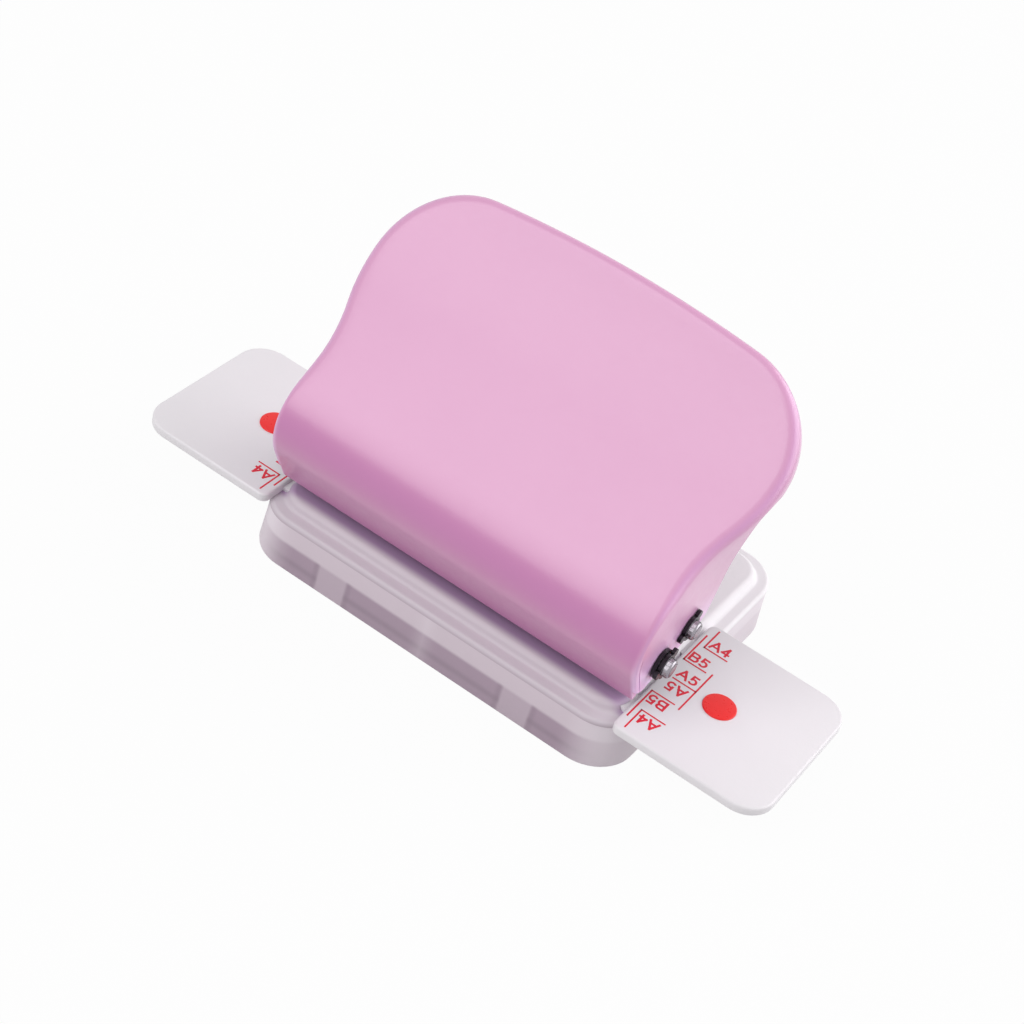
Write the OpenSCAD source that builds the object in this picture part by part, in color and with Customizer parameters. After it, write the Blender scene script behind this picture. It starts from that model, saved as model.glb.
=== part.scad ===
// Desk punch for loose-leaf paper: a bent sheet lever drives a row of punches over a chip tray.
// X runs along the row of punches, Y from front to back, Z up. The origin is under the middle of the tray.

/* [Chip tray] */
// Outer length of the tray
tray_l = 70.4; // [66:0.2:80]
// Outer depth of the tray
tray_d = 53; // [50:0.2:64]
// Height of the tray's walls
tray_h = 8.2; // [7:0.1:12]
// Corner radius of the tray
tray_r = 7.4; // [6:0.1:12]
// Wall thickness of the tray
tray_wall = 1.4; // [1:0.1:2]
// Floor thickness of the tray
tray_floor = 1.2; // [0.8:0.1:2]
// Distance of each wall rib from the middle
rib_x = 17.6; // [12:0.2:22]
// Width of a wall rib
rib_w = 5.4; // [3:0.2:8]
// How far a rib stands in from the front wall
rib_t = 1.5; // [0.8:0.1:2.5]

/* [Deck] */
// Thickness of the flange that lies on the tray's walls
flange_t = 0.9; // [0.7:0.1:2]
// How far the flange is set in from the tray's outer face
flange_inset = 0.6; // [0.1:0.1:0.8]
// Height of the raised deck above the flange, also the thickness of the paper guides
deck_rise = 1.5; // [1.3:0.1:3]
// Width of the ledge at each end of the raised deck
ledge_end = 2.8; // [2:0.1:4]
// Width of the ledge along the front and the back
ledge_front = 3; // [1:0.1:4]
// Corner radius of the raised deck
deck_r = 5.5; // [3:0.1:9]
// Depth of the skirt that plugs into the tray
skirt_h = 3.1; // [2:0.1:4.5]
// Wall thickness of the plug skirt
skirt_wall = 1.2; // [0.8:0.1:2]
// Gap between the plug skirt and the tray's wall
skirt_gap = 0.3; // [0.2:0.05:0.5]

/* [Punches] */
// Number of punches
punch_n = 6; // [4:2:6]
// Distance from punch to punch
punch_pitch = 9.5; // [8.5:0.1:9.8]
// Diameter of a punch
punch_d = 5.5; // [4.5:0.1:6]
// Radial clearance of a punch in its guide and die
punch_gap = 0.05; // [0.02:0.01:0.1]
// Distance from the tray's front to the line of punches
punch_setback = 16; // [15:0.1:20]
// Height of the paper gap above the deck
throat = 2; // [1.5:0.1:3]
// How far a raised punch's tip stays inside its guide
punch_rest = 0.2; // [0.1:0.1:0.5]
// Solid metal above the cross hole in a punch
punch_head = 1.2; // [0.8:0.1:2]
// Depth of the notch across a punch's cutting end
notch_h = 0.8; // [0.4:0.1:1.4]
// Thickness of the die plate
die_t = 1.5; // [1.2:0.1:2]
// Width of the die plate
die_w = 9; // [8:0.2:11]
// Die plate beyond the last hole's centre
die_end = 6.2; // [5:0.1:7]
// Gap around the die plate in its pocket
pocket_gap = 0.05; // [0.02:0.01:0.1]

/* [Frame] */
// Thickness of the guide plate
guide_plate_t = 2.2; // [1.6:0.1:2.3]
// Guide plate in front of the punch line
guide_front = 9; // [7:0.1:9.4]
// Thickness of the frame's ears
ear_t = 1.5; // [1:0.1:2.5]
// Metal round the pivot hole in an ear
ear_rim = 3.2; // [2:0.1:3.6]
// Distance in front of the punch line at which an ear leaves the guide plate
ear_root = 4.6; // [3.6:0.1:6]
// Rise of an ear's lower edge behind its root
ear_rise = 2.5; // [1.5:0.1:2.5]
// Gap between an ear and the lever's cheek
ear_gap = 0.3; // [0.2:0.05:0.6]
// Distance of the guide plate's and the stop's ends from the ears
end_gap = 1.5; // [0.5:0.1:1.5]
// Paper stop's distance behind the punch line
stop_y = 6.5; // [5.5:0.1:8]
// Depth of the paper stop bar
stop_d = 6.5; // [6:0.1:10]
// Distance of each screw from the middle
screw_x = 20; // [10:0.5:22]
// Shank diameter of the screws
screw_d = 2.6; // [2:0.1:3]
// Head diameter of the screws
screw_head_d = 5; // [4:0.1:5.6]
// Head height of the screws
screw_head_h = 1.5; // [1:0.1:2]

/* [Pins] */
// Diameter of both pins
pin_d = 3; // [2.4:0.1:3.2]
// Radial running clearance of the pins
pin_gap = 0.05; // [0.02:0.01:0.1]
// Distance of the pivot pin in front of the punch line
pivot_front = 7.2; // [6.6:0.1:7.6]
// Height of the pivot pin above the deck
pivot_z = 8; // [7.6:0.1:9]
// Height of the raised drive pin above the deck
drive_z = 10.4; // [9.8:0.1:11]
// Groove diameter for the clips
groove_d = 2.2; // [1.8:0.1:2.3]
// Diameter over the lobes of the clips
clip_d = 6.2; // [5.6:0.1:7]
// Outer diameter of a clip's ring
clip_ring_d = 4.2; // [4:0.1:5]
// Thickness of the clips
clip_t = 0.6; // [0.4:0.1:0.8]
// Outer diameter of the pivot washers
washer_d = 5; // [4.4:0.1:6.6]
// Thickness of the pivot washers
washer_t = 0.6; // [0.4:0.1:1]
// Length of a pin's end outside its clip
pin_end = 1; // [0.4:0.1:1.2]
// Side play of washers and clips
side_play = 0.1; // [0.05:0.05:0.3]

/* [Lever] */
// Thickness of the lever's sheet
sheet_t = 1; // [0.7:0.1:1.4]
// Width of the lever over its cheeks
lever_w = 67.4; // [66:0.2:72]
// Width of the lever's paddle
paddle_w = 74.2; // [73:0.2:80]
// Front skirt's lower edge in front of the punch line
lip_front = 10.7; // [10.4:0.1:12]
// Front skirt's lower edge above the deck
lip_z = 1.9; // [1.5:0.1:3]
// Lean of the front skirt, from the +Y direction
lip_angle = 118; // [108:1:124]
// Straight length of the front skirt
lip_len = 7.5; // [6:0.1:10]
// Radius of the bend over the nose
nose_r = 9.8; // [8:0.2:12]
// Slope of the plate behind the nose
plate_angle = 36.5; // [34:0.5:42]
// Straight length of the plate behind the nose
plate_len = 18.6; // [12:0.2:20]
// Radius of the hollow under the palm
scoop_r = 51.3; // [46:0.1:70]
// Slope of the plate at the paddle's end
tip_angle = 61; // [57:1:66]
// Where the sides begin to flare, along the plate
flare_from = 4.4; // [3:0.2:12]
// Corner radius of the paddle
paddle_r = 15.2; // [10:0.2:16]
// Radius of the paddle's bowed end
crown_r = 245; // [200:5:600]
// Depth of the turned rim round the paddle
rim_d = 3.1; // [2.5:0.1:5]
// Lower edge of a cheek behind the punch line
cheek_back = 6.4; // [4.5:0.1:6.6]
// Height of the cheek's lower back corner above the deck
cheek_back_z = 8.3; // [8.3:0.1:9.5]
// Height of the cheek's lower front corner above the deck
cheek_front_z = 3.7; // [3.4:0.1:5]
// Back edge of a cheek at its widest, behind the punch line
belly_back = 7; // [6.8:0.1:9]
// Height of the cheek's widest place above the deck
belly_z = 14; // [13:0.5:22]
// Back edge of a cheek at its neck, behind the punch line
neck_back = 4.4; // [4:0.1:9]
// Height of the cheek's neck above the deck
neck_z = 29.5; // [25:0.5:30]
// Slope of the plate where the neck runs into the rim
join_angle = 42; // [40:0.5:54]
// Corner radius of the cheek
cheek_r = 1.6; // [0.8:0.1:2]
// Swing of the lever from raised to pressed, in degrees
swing = 32; // [20:1:32]

/* [Return springs] */
// Wire diameter of the return springs
wire_d = 0.7; // [0.5:0.05:0.75]
// Mean radius of the coils
coil_r = 2.4; // [2.2:0.05:2.6]
// Whole turns of each spring
coil_n = 7; // [5:1:7]
// Gap between a spring's leg and its seat
leg_gap = 0.25; // [0.1:0.05:0.4]

/* [Paper guides] */
// Length of a paper guide
guide_l = 25.7; // [22:0.1:34]
// Width of a paper guide
guide_w = 30.4; // [26:0.2:34]
// Corner radius at the inner end
guide_in_r = 1.4; // [1:0.1:4]
// Corner radius at the outer end
guide_out_r = 5; // [2:0.5:8]
// Gap between a guide and the raised deck
guide_gap = 0.3; // [0.1:0.05:0.6]
// Distance of each prong from the guide's middle line
prong_y = 8.4; // [7.6:0.1:9.5]
// Width of a prong
prong_w = 4; // [3:0.1:4.4]
// Length of a prong
prong_l = 7; // [5:0.5:8]
// Thickness of a prong
prong_t = 0.8; // [0.5:0.05:1]
// Clearance of a prong in its slot
prong_gap = 0.1; // [0.05:0.05:0.2]
// Diameter of a hole-finding peg
peg_d = 5.4; // [4:0.1:5.4]
// Height of a peg's dome above its guide
peg_h = 0.7; // [0.4:0.1:1.2]

/* [Hidden] */
$fn = 64;
// Overshoot of a cut past the face that it opens
cut = 1;
// Reach of a cut that passes right through
through = 200;

// Levels above the table
ledge_z = tray_h + flange_t;
deck_z = ledge_z + deck_rise;
guide_plate_z = deck_z + throat;
guide_top_z = guide_plate_z + guide_plate_t;
rib_gap = 0.3;
rib_h = tray_h - skirt_h - rib_gap - tray_floor;

// The line of punches
punch_y = punch_setback - tray_d / 2;
row_half = (punch_n - 1) * punch_pitch / 2;
function punch_x(i) = i * punch_pitch - row_half;
die_l = 2 * (row_half + die_end);
deck_l = tray_l - 2 * ledge_end;
deck_d = tray_d - 2 * ledge_front;

// Widths across the lever, the frame and the pins
cheek_x = lever_w / 2;
ear_x = cheek_x - sheet_t - ear_gap;
plate_x = ear_x - ear_t - end_gap;
washer_x = cheek_x + side_play;
pivot_clip_x = washer_x + washer_t + side_play;
drive_clip_x = cheek_x + side_play;

// Small allowances and details
groove_play = 0.05;
boss_wall = 1.5;
chip_gap = 0.4;
ear_foot = 1;
screw_edge = 0.5;
screw_short = 0.3;
recess_w = 0.8;
recess_l = 3;
tooth_gap = 0.01;
relief_gap = 0.15;
tooth_w = 0.9;
tooth_a = 130;
lobe_d = 1.5;
lobe_a = 106;
pivot_clip_a = -67;
drive_clip_a = -55;
coil_end_gap = 2;

// Places in the Y-Z plane, measured from the punch line and from the deck
function dir(a) = [cos(a), sin(a)];
pivot = [-pivot_front, pivot_z];
drive = [0, drive_z];
arm = drive - pivot;
arm_angle = atan2(arm[1], arm[0]);
drive_travel = arm[1] + pivot_front * sin(swing) - arm[1] * cos(swing);
punch_tip = throat + punch_rest;
punch_top = drive_z + pin_d / 2 + punch_head;
ear_top = drive_z + pin_d / 2 + ear_rim / 2;
stop_back = stop_y + stop_d;
screw_y = stop_back - screw_head_d / 2 - screw_edge;

// The lever's outer line, from the skirt's edge over the nose to the paddle's end
lip = [-lip_front, lip_z];
nose_c = lip + lip_len * dir(lip_angle) + nose_r * dir(lip_angle - 90);
plate_a = nose_c + nose_r * dir(plate_angle + 90);
plate_b = plate_a + plate_len * dir(plate_angle);
scoop_c = plate_b + scoop_r * dir(plate_angle + 90);
tip = scoop_c + scoop_r * dir(tip_angle - 90);
// Points on an arc, without its start where first is 1
function arc(c, r, a0, a1, n, first = 0) = [for (i = [first : n]) c + r * dir(a0 + (a1 - a0) * i / n)];
function back_to_front(p) = [for (i = [len(p) - 1 : -1 : 0]) p[i]];
// The same line moved inwards by o, from a place along the skirt
function lever_line(o, from) = concat([lip + from * dir(lip_angle) + o * dir(lip_angle - 90)],
    arc(nose_c, nose_r - o, lip_angle + 90, plate_angle + 90, 20), rim_line(o, plate_angle));
function rim_line(o, a) = arc(scoop_c, scoop_r + o, a - 90, tip_angle - 90, 12);

// The cheek's lower edge, from its front to its round back corner and up into the turned rim
cheek_from = (cheek_front_z - lip_z) / sin(lip_angle);
cheek_corner = [cheek_back, cheek_back_z];
bottom_dir = cheek_corner - [-lip_front, cheek_front_z];
bottom_a = atan2(bottom_dir[1], bottom_dir[0]);
back_dir = [belly_back, belly_z] - cheek_corner;
back_a = atan2(back_dir[1], back_dir[0]);
corner_reach = cheek_r / cos((back_a - bottom_a) / 2);
corner_c = cheek_corner + corner_reach * dir((back_a + bottom_a) / 2 + 90);
cheek_line = concat(arc(corner_c, cheek_r, bottom_a - 90, back_a - 90, 6),
    [[belly_back, belly_z], [neck_back, neck_z]], rim_line(rim_d, join_angle));

// The lever's outline seen square to this slope, from the nose to the paddle
view_a = 45;
tip_u = (tip - plate_a) * dir(view_a);
paddle_x = paddle_w / 2;
crown_c = [0, tip_u - crown_r];
turn_x = paddle_x - paddle_r;
turn_c = [turn_x, crown_c[1] + sqrt(pow(crown_r - paddle_r, 2) - pow(turn_x, 2))];
turn_a = atan2(turn_c[1] - crown_c[1], turn_x);
// Two equal arcs carry the side from the cheek out to the paddle
flare_x = (paddle_x - cheek_x) / 2;
flare_u = (turn_c[1] - flare_from) / 2;
flare_r = (flare_x * flare_x + flare_u * flare_u) / (2 * flare_x);
flare_a = asin(flare_u / flare_r);
function outline_half(o) = concat([[cheek_x - o, -through / 4]],
    arc([cheek_x + flare_r, flare_from], flare_r + o, 180, 180 - flare_a, 8),
    arc([paddle_x - flare_r, turn_c[1]], flare_r - o, -flare_a, 0, 8, 1),
    arc(turn_c, paddle_r - o, 0, turn_a, 12, 1), arc(crown_c, crown_r - o, turn_a, 90, 4, 1));
function outline(o) = let (h = outline_half(o))
    concat(h, [for (i = [len(h) - 2 : -1 : 0]) [-h[i][0], h[i][1]]]);

// Plates and solids that repeat
module round_rect(l, d, r) {
    square([l - 2 * r, d], center = true);
    square([l, d - 2 * r], center = true);
    for (sx = [-1, 1], sy = [-1, 1])
        translate([sx * (l / 2 - r), sy * (d / 2 - r)]) circle(r);
}

// A plate in the Y-Z plane of the mechanism, from x0 to x1
module side_plate(x0, x1) {
    translate([x0, punch_y, deck_z]) rotate([90, 0, 90]) linear_extrude(x1 - x0) children();
}

// A round bar along X at a place in the Y-Z plane of the mechanism
module cross_bar(at, d, x0, x1) {
    translate([x0, punch_y + at[0], deck_z + at[1]]) rotate([0, 90, 0]) cylinder(d = d, h = x1 - x0);
}

// The same cut or solid on both sides of the middle
module both_sides() {
    children();
    mirror([1, 0, 0]) children();
}

module box(low, high) {
    translate(low) cube(high - low);
}

module chip_tray() {
    color([0.83, 0.80, 0.84]) {
        difference() {
            linear_extrude(tray_h) round_rect(tray_l, tray_d, tray_r);
            translate([0, 0, tray_floor]) linear_extrude(tray_h)
                round_rect(tray_l - 2 * tray_wall, tray_d - 2 * tray_wall, tray_r - tray_wall);
        }
        inner_front = -tray_d / 2 + tray_wall;
        for (s = [-1, 1])
            box([s * rib_x - rib_w / 2, inner_front - tray_wall / 2, tray_floor / 2],
                [s * rib_x + rib_w / 2, inner_front + rib_t, tray_floor + rib_h]);
    }
}

module base_deck() {
    plug_l = tray_l - 2 * (tray_wall + skirt_gap);
    plug_d = tray_d - 2 * (tray_wall + skirt_gap);
    plug_r = tray_r - tray_wall - skirt_gap;
    boss_d = screw_d + 2 * boss_wall;
    color([0.93, 0.92, 0.93]) difference() {
        union() {
            translate([0, 0, tray_h]) linear_extrude(flange_t)
                round_rect(tray_l - 2 * flange_inset, tray_d - 2 * flange_inset, tray_r - flange_inset);
            translate([0, 0, ledge_z - flange_t / 2]) linear_extrude(deck_rise + flange_t / 2)
                round_rect(deck_l, deck_d, deck_r);
            translate([0, 0, tray_h - skirt_h]) linear_extrude(skirt_h + flange_t / 2) difference() {
                round_rect(plug_l, plug_d, plug_r);
                round_rect(plug_l - 2 * skirt_wall, plug_d - 2 * skirt_wall, plug_r - skirt_wall);
            }
            for (s = [-1, 1])
                translate([s * screw_x, punch_y + screw_y, tray_h - skirt_h])
                    cylinder(d = boss_d, h = skirt_h + flange_t / 2);
        }
        die_cut = [die_l / 2 + pocket_gap, die_w / 2 + pocket_gap];
        box([-die_cut[0], punch_y - die_cut[1], deck_z - die_t], [die_cut[0], punch_y + die_cut[1], deck_z + cut]);
        chip_cut = [row_half, 0] + [1, 1] * (punch_d / 2 + chip_gap);
        box([-chip_cut[0], punch_y - chip_cut[1], 0], [chip_cut[0], punch_y + chip_cut[1], deck_z]);
        screw_holes();
        slot_w = prong_w / 2 + prong_gap;
        both_sides() for (s = [-1, 1])
            box([deck_l / 2 + guide_gap - prong_l - prong_gap, punch_y + s * prong_y - slot_w, ledge_z],
                [deck_l / 2 + cut, punch_y + s * prong_y + slot_w, ledge_z + prong_t + prong_gap]);
    }
}

// Round holes at every punch
module punch_holes() {
    for (i = [0 : punch_n - 1])
        translate([punch_x(i), punch_y, 0]) cylinder(d = punch_d + 2 * punch_gap, h = through);
}

module die_plate() {
    color([0.72, 0.73, 0.75]) difference() {
        box([-die_l / 2, punch_y - die_w / 2, deck_z - die_t], [die_l / 2, punch_y + die_w / 2, deck_z]);
        punch_holes();
    }
}

module screw_holes() {
    for (s = [-1, 1])
        translate([s * screw_x, punch_y + screw_y, 0]) cylinder(d = screw_d + 2 * pin_gap, h = through);
}

module paper_stop() {
    color([0.62, 0.63, 0.65]) difference() {
        box([-plate_x, punch_y + stop_y, deck_z], [plate_x, punch_y + stop_back, guide_plate_z]);
        screw_holes();
    }
}

// The ear's outline round the pivot hole and the drive pin's slot
module ear_shape() {
    slot_low = drive_z - drive_travel - pin_d / 2 - pin_gap;
    slot_d = pin_d + 2 * pin_gap;
    difference() {
        union() {
            polygon([[-guide_front, throat], [pivot[0] - ear_rim, pivot_z], [pivot[0] + ear_rim, pivot_z + ear_rim],
                [-ear_rim, ear_top], [ear_rim, ear_top], [ear_rim + ear_foot, pivot_z],
                [ear_rim + ear_foot, throat + ear_rise], [-ear_root, throat]]);
            translate(pivot) circle(ear_rim);
        }
        translate(pivot) circle(d = slot_d);
        translate(drive) circle(d = slot_d);
        translate(drive - [0, drive_travel]) circle(d = slot_d);
        translate([-slot_d / 2, slot_low + slot_d / 2]) square([slot_d, drive_travel]);
    }
}

module punch_frame() {
    color([0.70, 0.71, 0.73]) {
        difference() {
            union() {
                box([-plate_x, punch_y - guide_front, guide_plate_z], [plate_x, punch_y + stop_back, guide_top_z]);
                box([-ear_x, punch_y - guide_front, guide_plate_z], [ear_x, punch_y - ear_root, guide_top_z]);
            }
            punch_holes();
            screw_holes();
        }
        both_sides() side_plate(ear_x - ear_t, ear_x) ear_shape();
    }
}

module frame_screws() {
    low_z = tray_h - skirt_h + screw_short;
    color([0.78, 0.78, 0.80]) for (s = [-1, 1]) translate([s * screw_x, punch_y + screw_y, 0]) {
        translate([0, 0, low_z]) cylinder(d = screw_d, h = guide_top_z - low_z);
        difference() {
            translate([0, 0, guide_top_z]) cylinder(d = screw_head_d, h = screw_head_h);
            for (turn = [0, 90]) rotate([0, 0, turn])
                box([-recess_l / 2, -recess_w / 2, guide_top_z + screw_head_h / 2],
                    [recess_l / 2, recess_w / 2, guide_top_z + screw_head_h + cut]);
        }
    }
}

// A prism of the lever's outline, square to the view slope
module lever_prism(o) {
    translate([0, punch_y + plate_a[0], deck_z + plate_a[1]]) rotate([view_a, 0, 0])
        translate([0, 0, -through / 2]) linear_extrude(through) polygon(outline(o));
}

module handle() {
    half = paddle_w / 2 + cut;
    hole_d = pin_d + 2 * pin_gap;
    slot_from = pivot + pivot_front * dir(arm_angle);
    color([0.89, 0.68, 0.82]) difference() {
        union() {
            intersection() {
                side_plate(-half, half) polygon(concat(lever_line(0, 0), back_to_front(lever_line(sheet_t, 0))));
                lever_prism(0);
            }
            intersection() {
                side_plate(-half, half) polygon(concat(lever_line(0, cheek_from), back_to_front(cheek_line)));
                difference() {
                    lever_prism(0);
                    lever_prism(sheet_t);
                }
            }
        }
        cross_bar(pivot, hole_d, -through / 2, through / 2);
        cross_bar(drive, hole_d, -through / 2, through / 2);
        cross_bar(slot_from, hole_d, -through / 2, through / 2);
        side_plate(-through / 2, through / 2) translate(slot_from) rotate(arm_angle)
            translate([0, -hole_d / 2]) square([norm(arm) - pivot_front, hole_d]);
    }
}

// A pin along X with a groove for a clip near each end
module grooved_pin(at, groove_x) {
    half = groove_x + clip_t + groove_play + pin_end;
    bevel = pin_end / 2;
    difference() {
        union() {
            cross_bar(at, pin_d, -half + bevel, half - bevel);
            both_sides() translate([half - bevel, punch_y + at[0], deck_z + at[1]]) rotate([0, 90, 0])
                cylinder(d1 = pin_d, d2 = pin_d - 2 * bevel, h = bevel);
        }
        both_sides() difference() {
            cross_bar(at, pin_d + cut, groove_x - groove_play, groove_x + clip_t + groove_play);
            cross_bar(at, groove_d, 0, through);
        }
    }
}

// A spring clip with three inner teeth, open on one side, with a round lobe at each end
module clip_shape(open_a) {
    relief_d = pin_d + 2 * relief_gap;
    rotate(open_a) {
        difference() {
            circle(d = clip_ring_d);
            circle(d = groove_d + 2 * tooth_gap);
            difference() {
                circle(d = relief_d);
                for (a = [0, tooth_a, -tooth_a])
                    rotate(a) translate([-relief_d, -tooth_w / 2]) square([relief_d, tooth_w]);
            }
            translate([0, -groove_d / 2]) square([clip_d, groove_d]);
        }
        for (s = [-1, 1])
            rotate(s * lobe_a) translate([(clip_d - lobe_d) / 2, 0]) circle(d = lobe_d);
    }
}

module clips(at, x, open_a) {
    color([0.16, 0.16, 0.17]) both_sides() side_plate(x, x + clip_t) translate(at) clip_shape(open_a);
}

module pivot_pin() {
    color([0.80, 0.80, 0.82]) grooved_pin(pivot, pivot_clip_x);
}

module drive_pin() {
    color([0.80, 0.80, 0.82]) grooved_pin(drive, drive_clip_x);
}

module pivot_clips() {
    clips(pivot, pivot_clip_x, pivot_clip_a);
}

module drive_clips() {
    clips(drive, drive_clip_x, drive_clip_a);
}

module pivot_washers() {
    color([0.14, 0.14, 0.15]) both_sides() difference() {
        cross_bar(pivot, washer_d, washer_x, washer_x + washer_t);
        cross_bar(pivot, pin_d + 2 * pin_gap, 0, through);
    }
}

module punch(i) {
    color([0.76, 0.77, 0.79]) translate([punch_x(i), 0, 0]) difference() {
        translate([0, punch_y, deck_z + punch_tip]) cylinder(d = punch_d, h = punch_top - punch_tip);
        cross_bar(drive, pin_d + 2 * pin_gap, -punch_d, punch_d);
        translate([0, punch_y, deck_z + punch_tip]) scale(notch_h) rotate([0, 45, 0])
            cube([sqrt(2), through, sqrt(2)], center = true);
    }
}

// The return spring's middle line: a leg on the guide plate, the coils, and a leg up under the lever's plate
spring_out_x = ear_x - ear_t - coil_end_gap;
spring_in_x = (punch_n / 2 - 1) * punch_pitch;
coil_turns = coil_n + 0.25;
coil_step = 45;
coil_points = [for (a = [0 : coil_step : 360 * coil_turns])
    let (p = pivot + coil_r * dir(-90 - a))
    [spring_out_x - (spring_out_x - spring_in_x) * a / (360 * coil_turns), p[0], p[1]]];
foot = [spring_out_x, -punch_d / 2 - wire_d, guide_plate_t + throat + wire_d / 2 + leg_gap];
plate_over_leg = plate_a[1] + (pivot[0] - coil_r - plate_a[0]) * tan(plate_angle);
leg_top = plate_over_leg - sheet_t / cos(plate_angle) - wire_d - leg_gap;
leg_end = [spring_in_x, pivot[0] - coil_r, leg_top];
spring_line = concat([foot], coil_points, [leg_end]);

// One tube of six sides along a line of points, with triangles for faces
module tube(line, d) {
    sides = 6;
    last = len(line) - 1;
    function unit(v) = v / norm(v);
    function tangent(i) = unit(line[min(i + 1, last)] - line[max(i - 1, 0)]);
    function across(i) = let (t = tangent(i)) unit([1, 0, 0] - t[0] * t);
    function ring(i) = let (b = across(i), c = cross(tangent(i), b))
        [for (k = [0 : sides - 1]) line[i] + d / 2 * (cos(360 * k / sides) * b + sin(360 * k / sides) * c)];
    points = [for (i = [0 : last]) each ring(i)];
    function side_faces(i) = [for (k = [0 : sides - 1])
        let (a = i * sides + k, b = i * sides + (k + 1) % sides)
        each [[a, a + sides, b], [b, a + sides, b + sides]]];
    start_cap = [for (k = [1 : sides - 2]) [0, k, k + 1]];
    end_cap = [for (k = [1 : sides - 2]) [last * sides, last * sides + k + 1, last * sides + k]];
    polyhedron(concat(points), concat(start_cap, [for (i = [0 : last - 1]) each side_faces(i)], end_cap));
}

// Least distance between points of the coil that lie half a turn or more apart along the wire
half_turn = 180 / coil_step;
spring_gap = min([for (i = [0 : len(coil_points) - 1], j = [0 : len(coil_points) - 1])
    if (j >= i + half_turn) norm(coil_points[i] - coil_points[j])]) - wire_d;
echo(str("Return spring, least gap between its turns: ", spring_gap, " mm"));

module return_spring() {
    color([0.66, 0.67, 0.69]) translate([0, punch_y, deck_z]) tube(spring_line, wire_d);
}

module return_spring_right() {
    return_spring();
}

module return_spring_left() {
    mirror([1, 0, 0]) return_spring();
}

// A guide plate with small corners inside, large ones outside, two prongs and a peg hole
guide_x0 = deck_l / 2 + guide_gap;
peg_steps = 2;
peg_x = row_half + peg_steps * punch_pitch;
module paper_guide() {
    color([0.95, 0.94, 0.95]) difference() {
        union() {
            translate([guide_x0 + guide_l / 2, punch_y, ledge_z]) linear_extrude(deck_rise) union() {
                intersection() {
                    round_rect(guide_l, guide_w, guide_in_r);
                    translate([-guide_l / 2, -guide_w / 2]) square([guide_l / 2, guide_w]);
                }
                intersection() {
                    round_rect(guide_l, guide_w, guide_out_r);
                    translate([0, -guide_w / 2]) square([guide_l / 2, guide_w]);
                }
            }
            for (s = [-1, 1])
                box([guide_x0 - prong_l, punch_y + s * prong_y - prong_w / 2, ledge_z],
                    [guide_x0 + guide_in_r, punch_y + s * prong_y + prong_w / 2, ledge_z + prong_t]);
        }
        translate([peg_x, punch_y, 0]) cylinder(d = peg_d, h = through);
    }
}

module paper_guide_right() {
    paper_guide();
}

module paper_guide_left() {
    mirror([1, 0, 0]) paper_guide();
}

module guide_peg() {
    dome_r = (peg_d * peg_d / 4 + peg_h * peg_h) / (2 * peg_h);
    color([0.88, 0.21, 0.22]) translate([peg_x, punch_y, 0]) {
        translate([0, 0, ledge_z]) cylinder(d = peg_d, h = deck_rise);
        intersection() {
            translate([0, 0, deck_z]) cylinder(d = peg_d, h = peg_h);
            translate([0, 0, deck_z + peg_h - dome_r]) sphere(dome_r);
        }
    }
}

module guide_peg_right() {
    guide_peg();
}

module guide_peg_left() {
    mirror([1, 0, 0]) guide_peg();
}

chip_tray();
base_deck();
die_plate();
paper_stop();
punch_frame();
frame_screws();
handle();
pivot_pin();
pivot_washers();
pivot_clips();
drive_pin();
drive_clips();
punch(0);  // punch_1
punch(1);  // punch_2
punch(2);  // punch_3
punch(3);  // punch_4
punch(4);  // punch_5
punch(5);  // punch_6
return_spring_left();
return_spring_right();
paper_guide_left();
paper_guide_right();
guide_peg_left();
guide_peg_right();
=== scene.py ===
"""Desk punch for loose-leaf paper: its lever, deck, tray, guides and springs, dressed on the packed frame."""

import math
from functools import reduce
from itertools import accumulate

import bpy
from bpy.props import FloatProperty, FloatVectorProperty, IntProperty, PointerProperty
from mathutils import Matrix, Vector


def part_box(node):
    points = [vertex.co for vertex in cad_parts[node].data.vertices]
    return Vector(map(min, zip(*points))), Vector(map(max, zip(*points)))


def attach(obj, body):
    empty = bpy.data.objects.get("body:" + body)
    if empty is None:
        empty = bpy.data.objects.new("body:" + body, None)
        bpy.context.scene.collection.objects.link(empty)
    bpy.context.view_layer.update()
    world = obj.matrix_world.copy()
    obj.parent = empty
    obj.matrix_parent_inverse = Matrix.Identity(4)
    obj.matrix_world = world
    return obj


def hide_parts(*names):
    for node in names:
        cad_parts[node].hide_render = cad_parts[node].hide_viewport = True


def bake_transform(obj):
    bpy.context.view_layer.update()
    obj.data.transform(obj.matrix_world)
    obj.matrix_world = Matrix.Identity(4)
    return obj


bl_info = {
    "name": "Loose-leaf desk punch",
    "version": (1, 0, 0),
    "blender": (4, 5, 0),
    "location": "View3D > Sidebar > Desk punch",
    "description": "Models the lever, deck, chip tray, paper guides, springs and finishes of a desk punch",
    "category": "Object",
}

MM = 0.001
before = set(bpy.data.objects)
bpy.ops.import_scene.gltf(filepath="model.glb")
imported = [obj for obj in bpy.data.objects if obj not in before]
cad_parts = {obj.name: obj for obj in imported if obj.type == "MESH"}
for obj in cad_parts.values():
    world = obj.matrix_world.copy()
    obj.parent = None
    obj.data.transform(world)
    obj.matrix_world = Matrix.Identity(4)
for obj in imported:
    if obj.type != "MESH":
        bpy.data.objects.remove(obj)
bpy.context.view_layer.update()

# The middle of the row of punches, on the deck: the lever and the marks are measured from here
PUNCH_Y = sum(corner.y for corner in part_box("die_plate")) / 2
DECK_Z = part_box("die_plate")[1].z
LEDGE_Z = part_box("paper_guide_right")[0].z
RIM_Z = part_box("chip_tray")[1].z


def size(name, description, millimetres):
    """A length that a user can change."""
    return FloatProperty(name=name, description=description, default=millimetres * MM, unit="LENGTH", precision=5)


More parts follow.
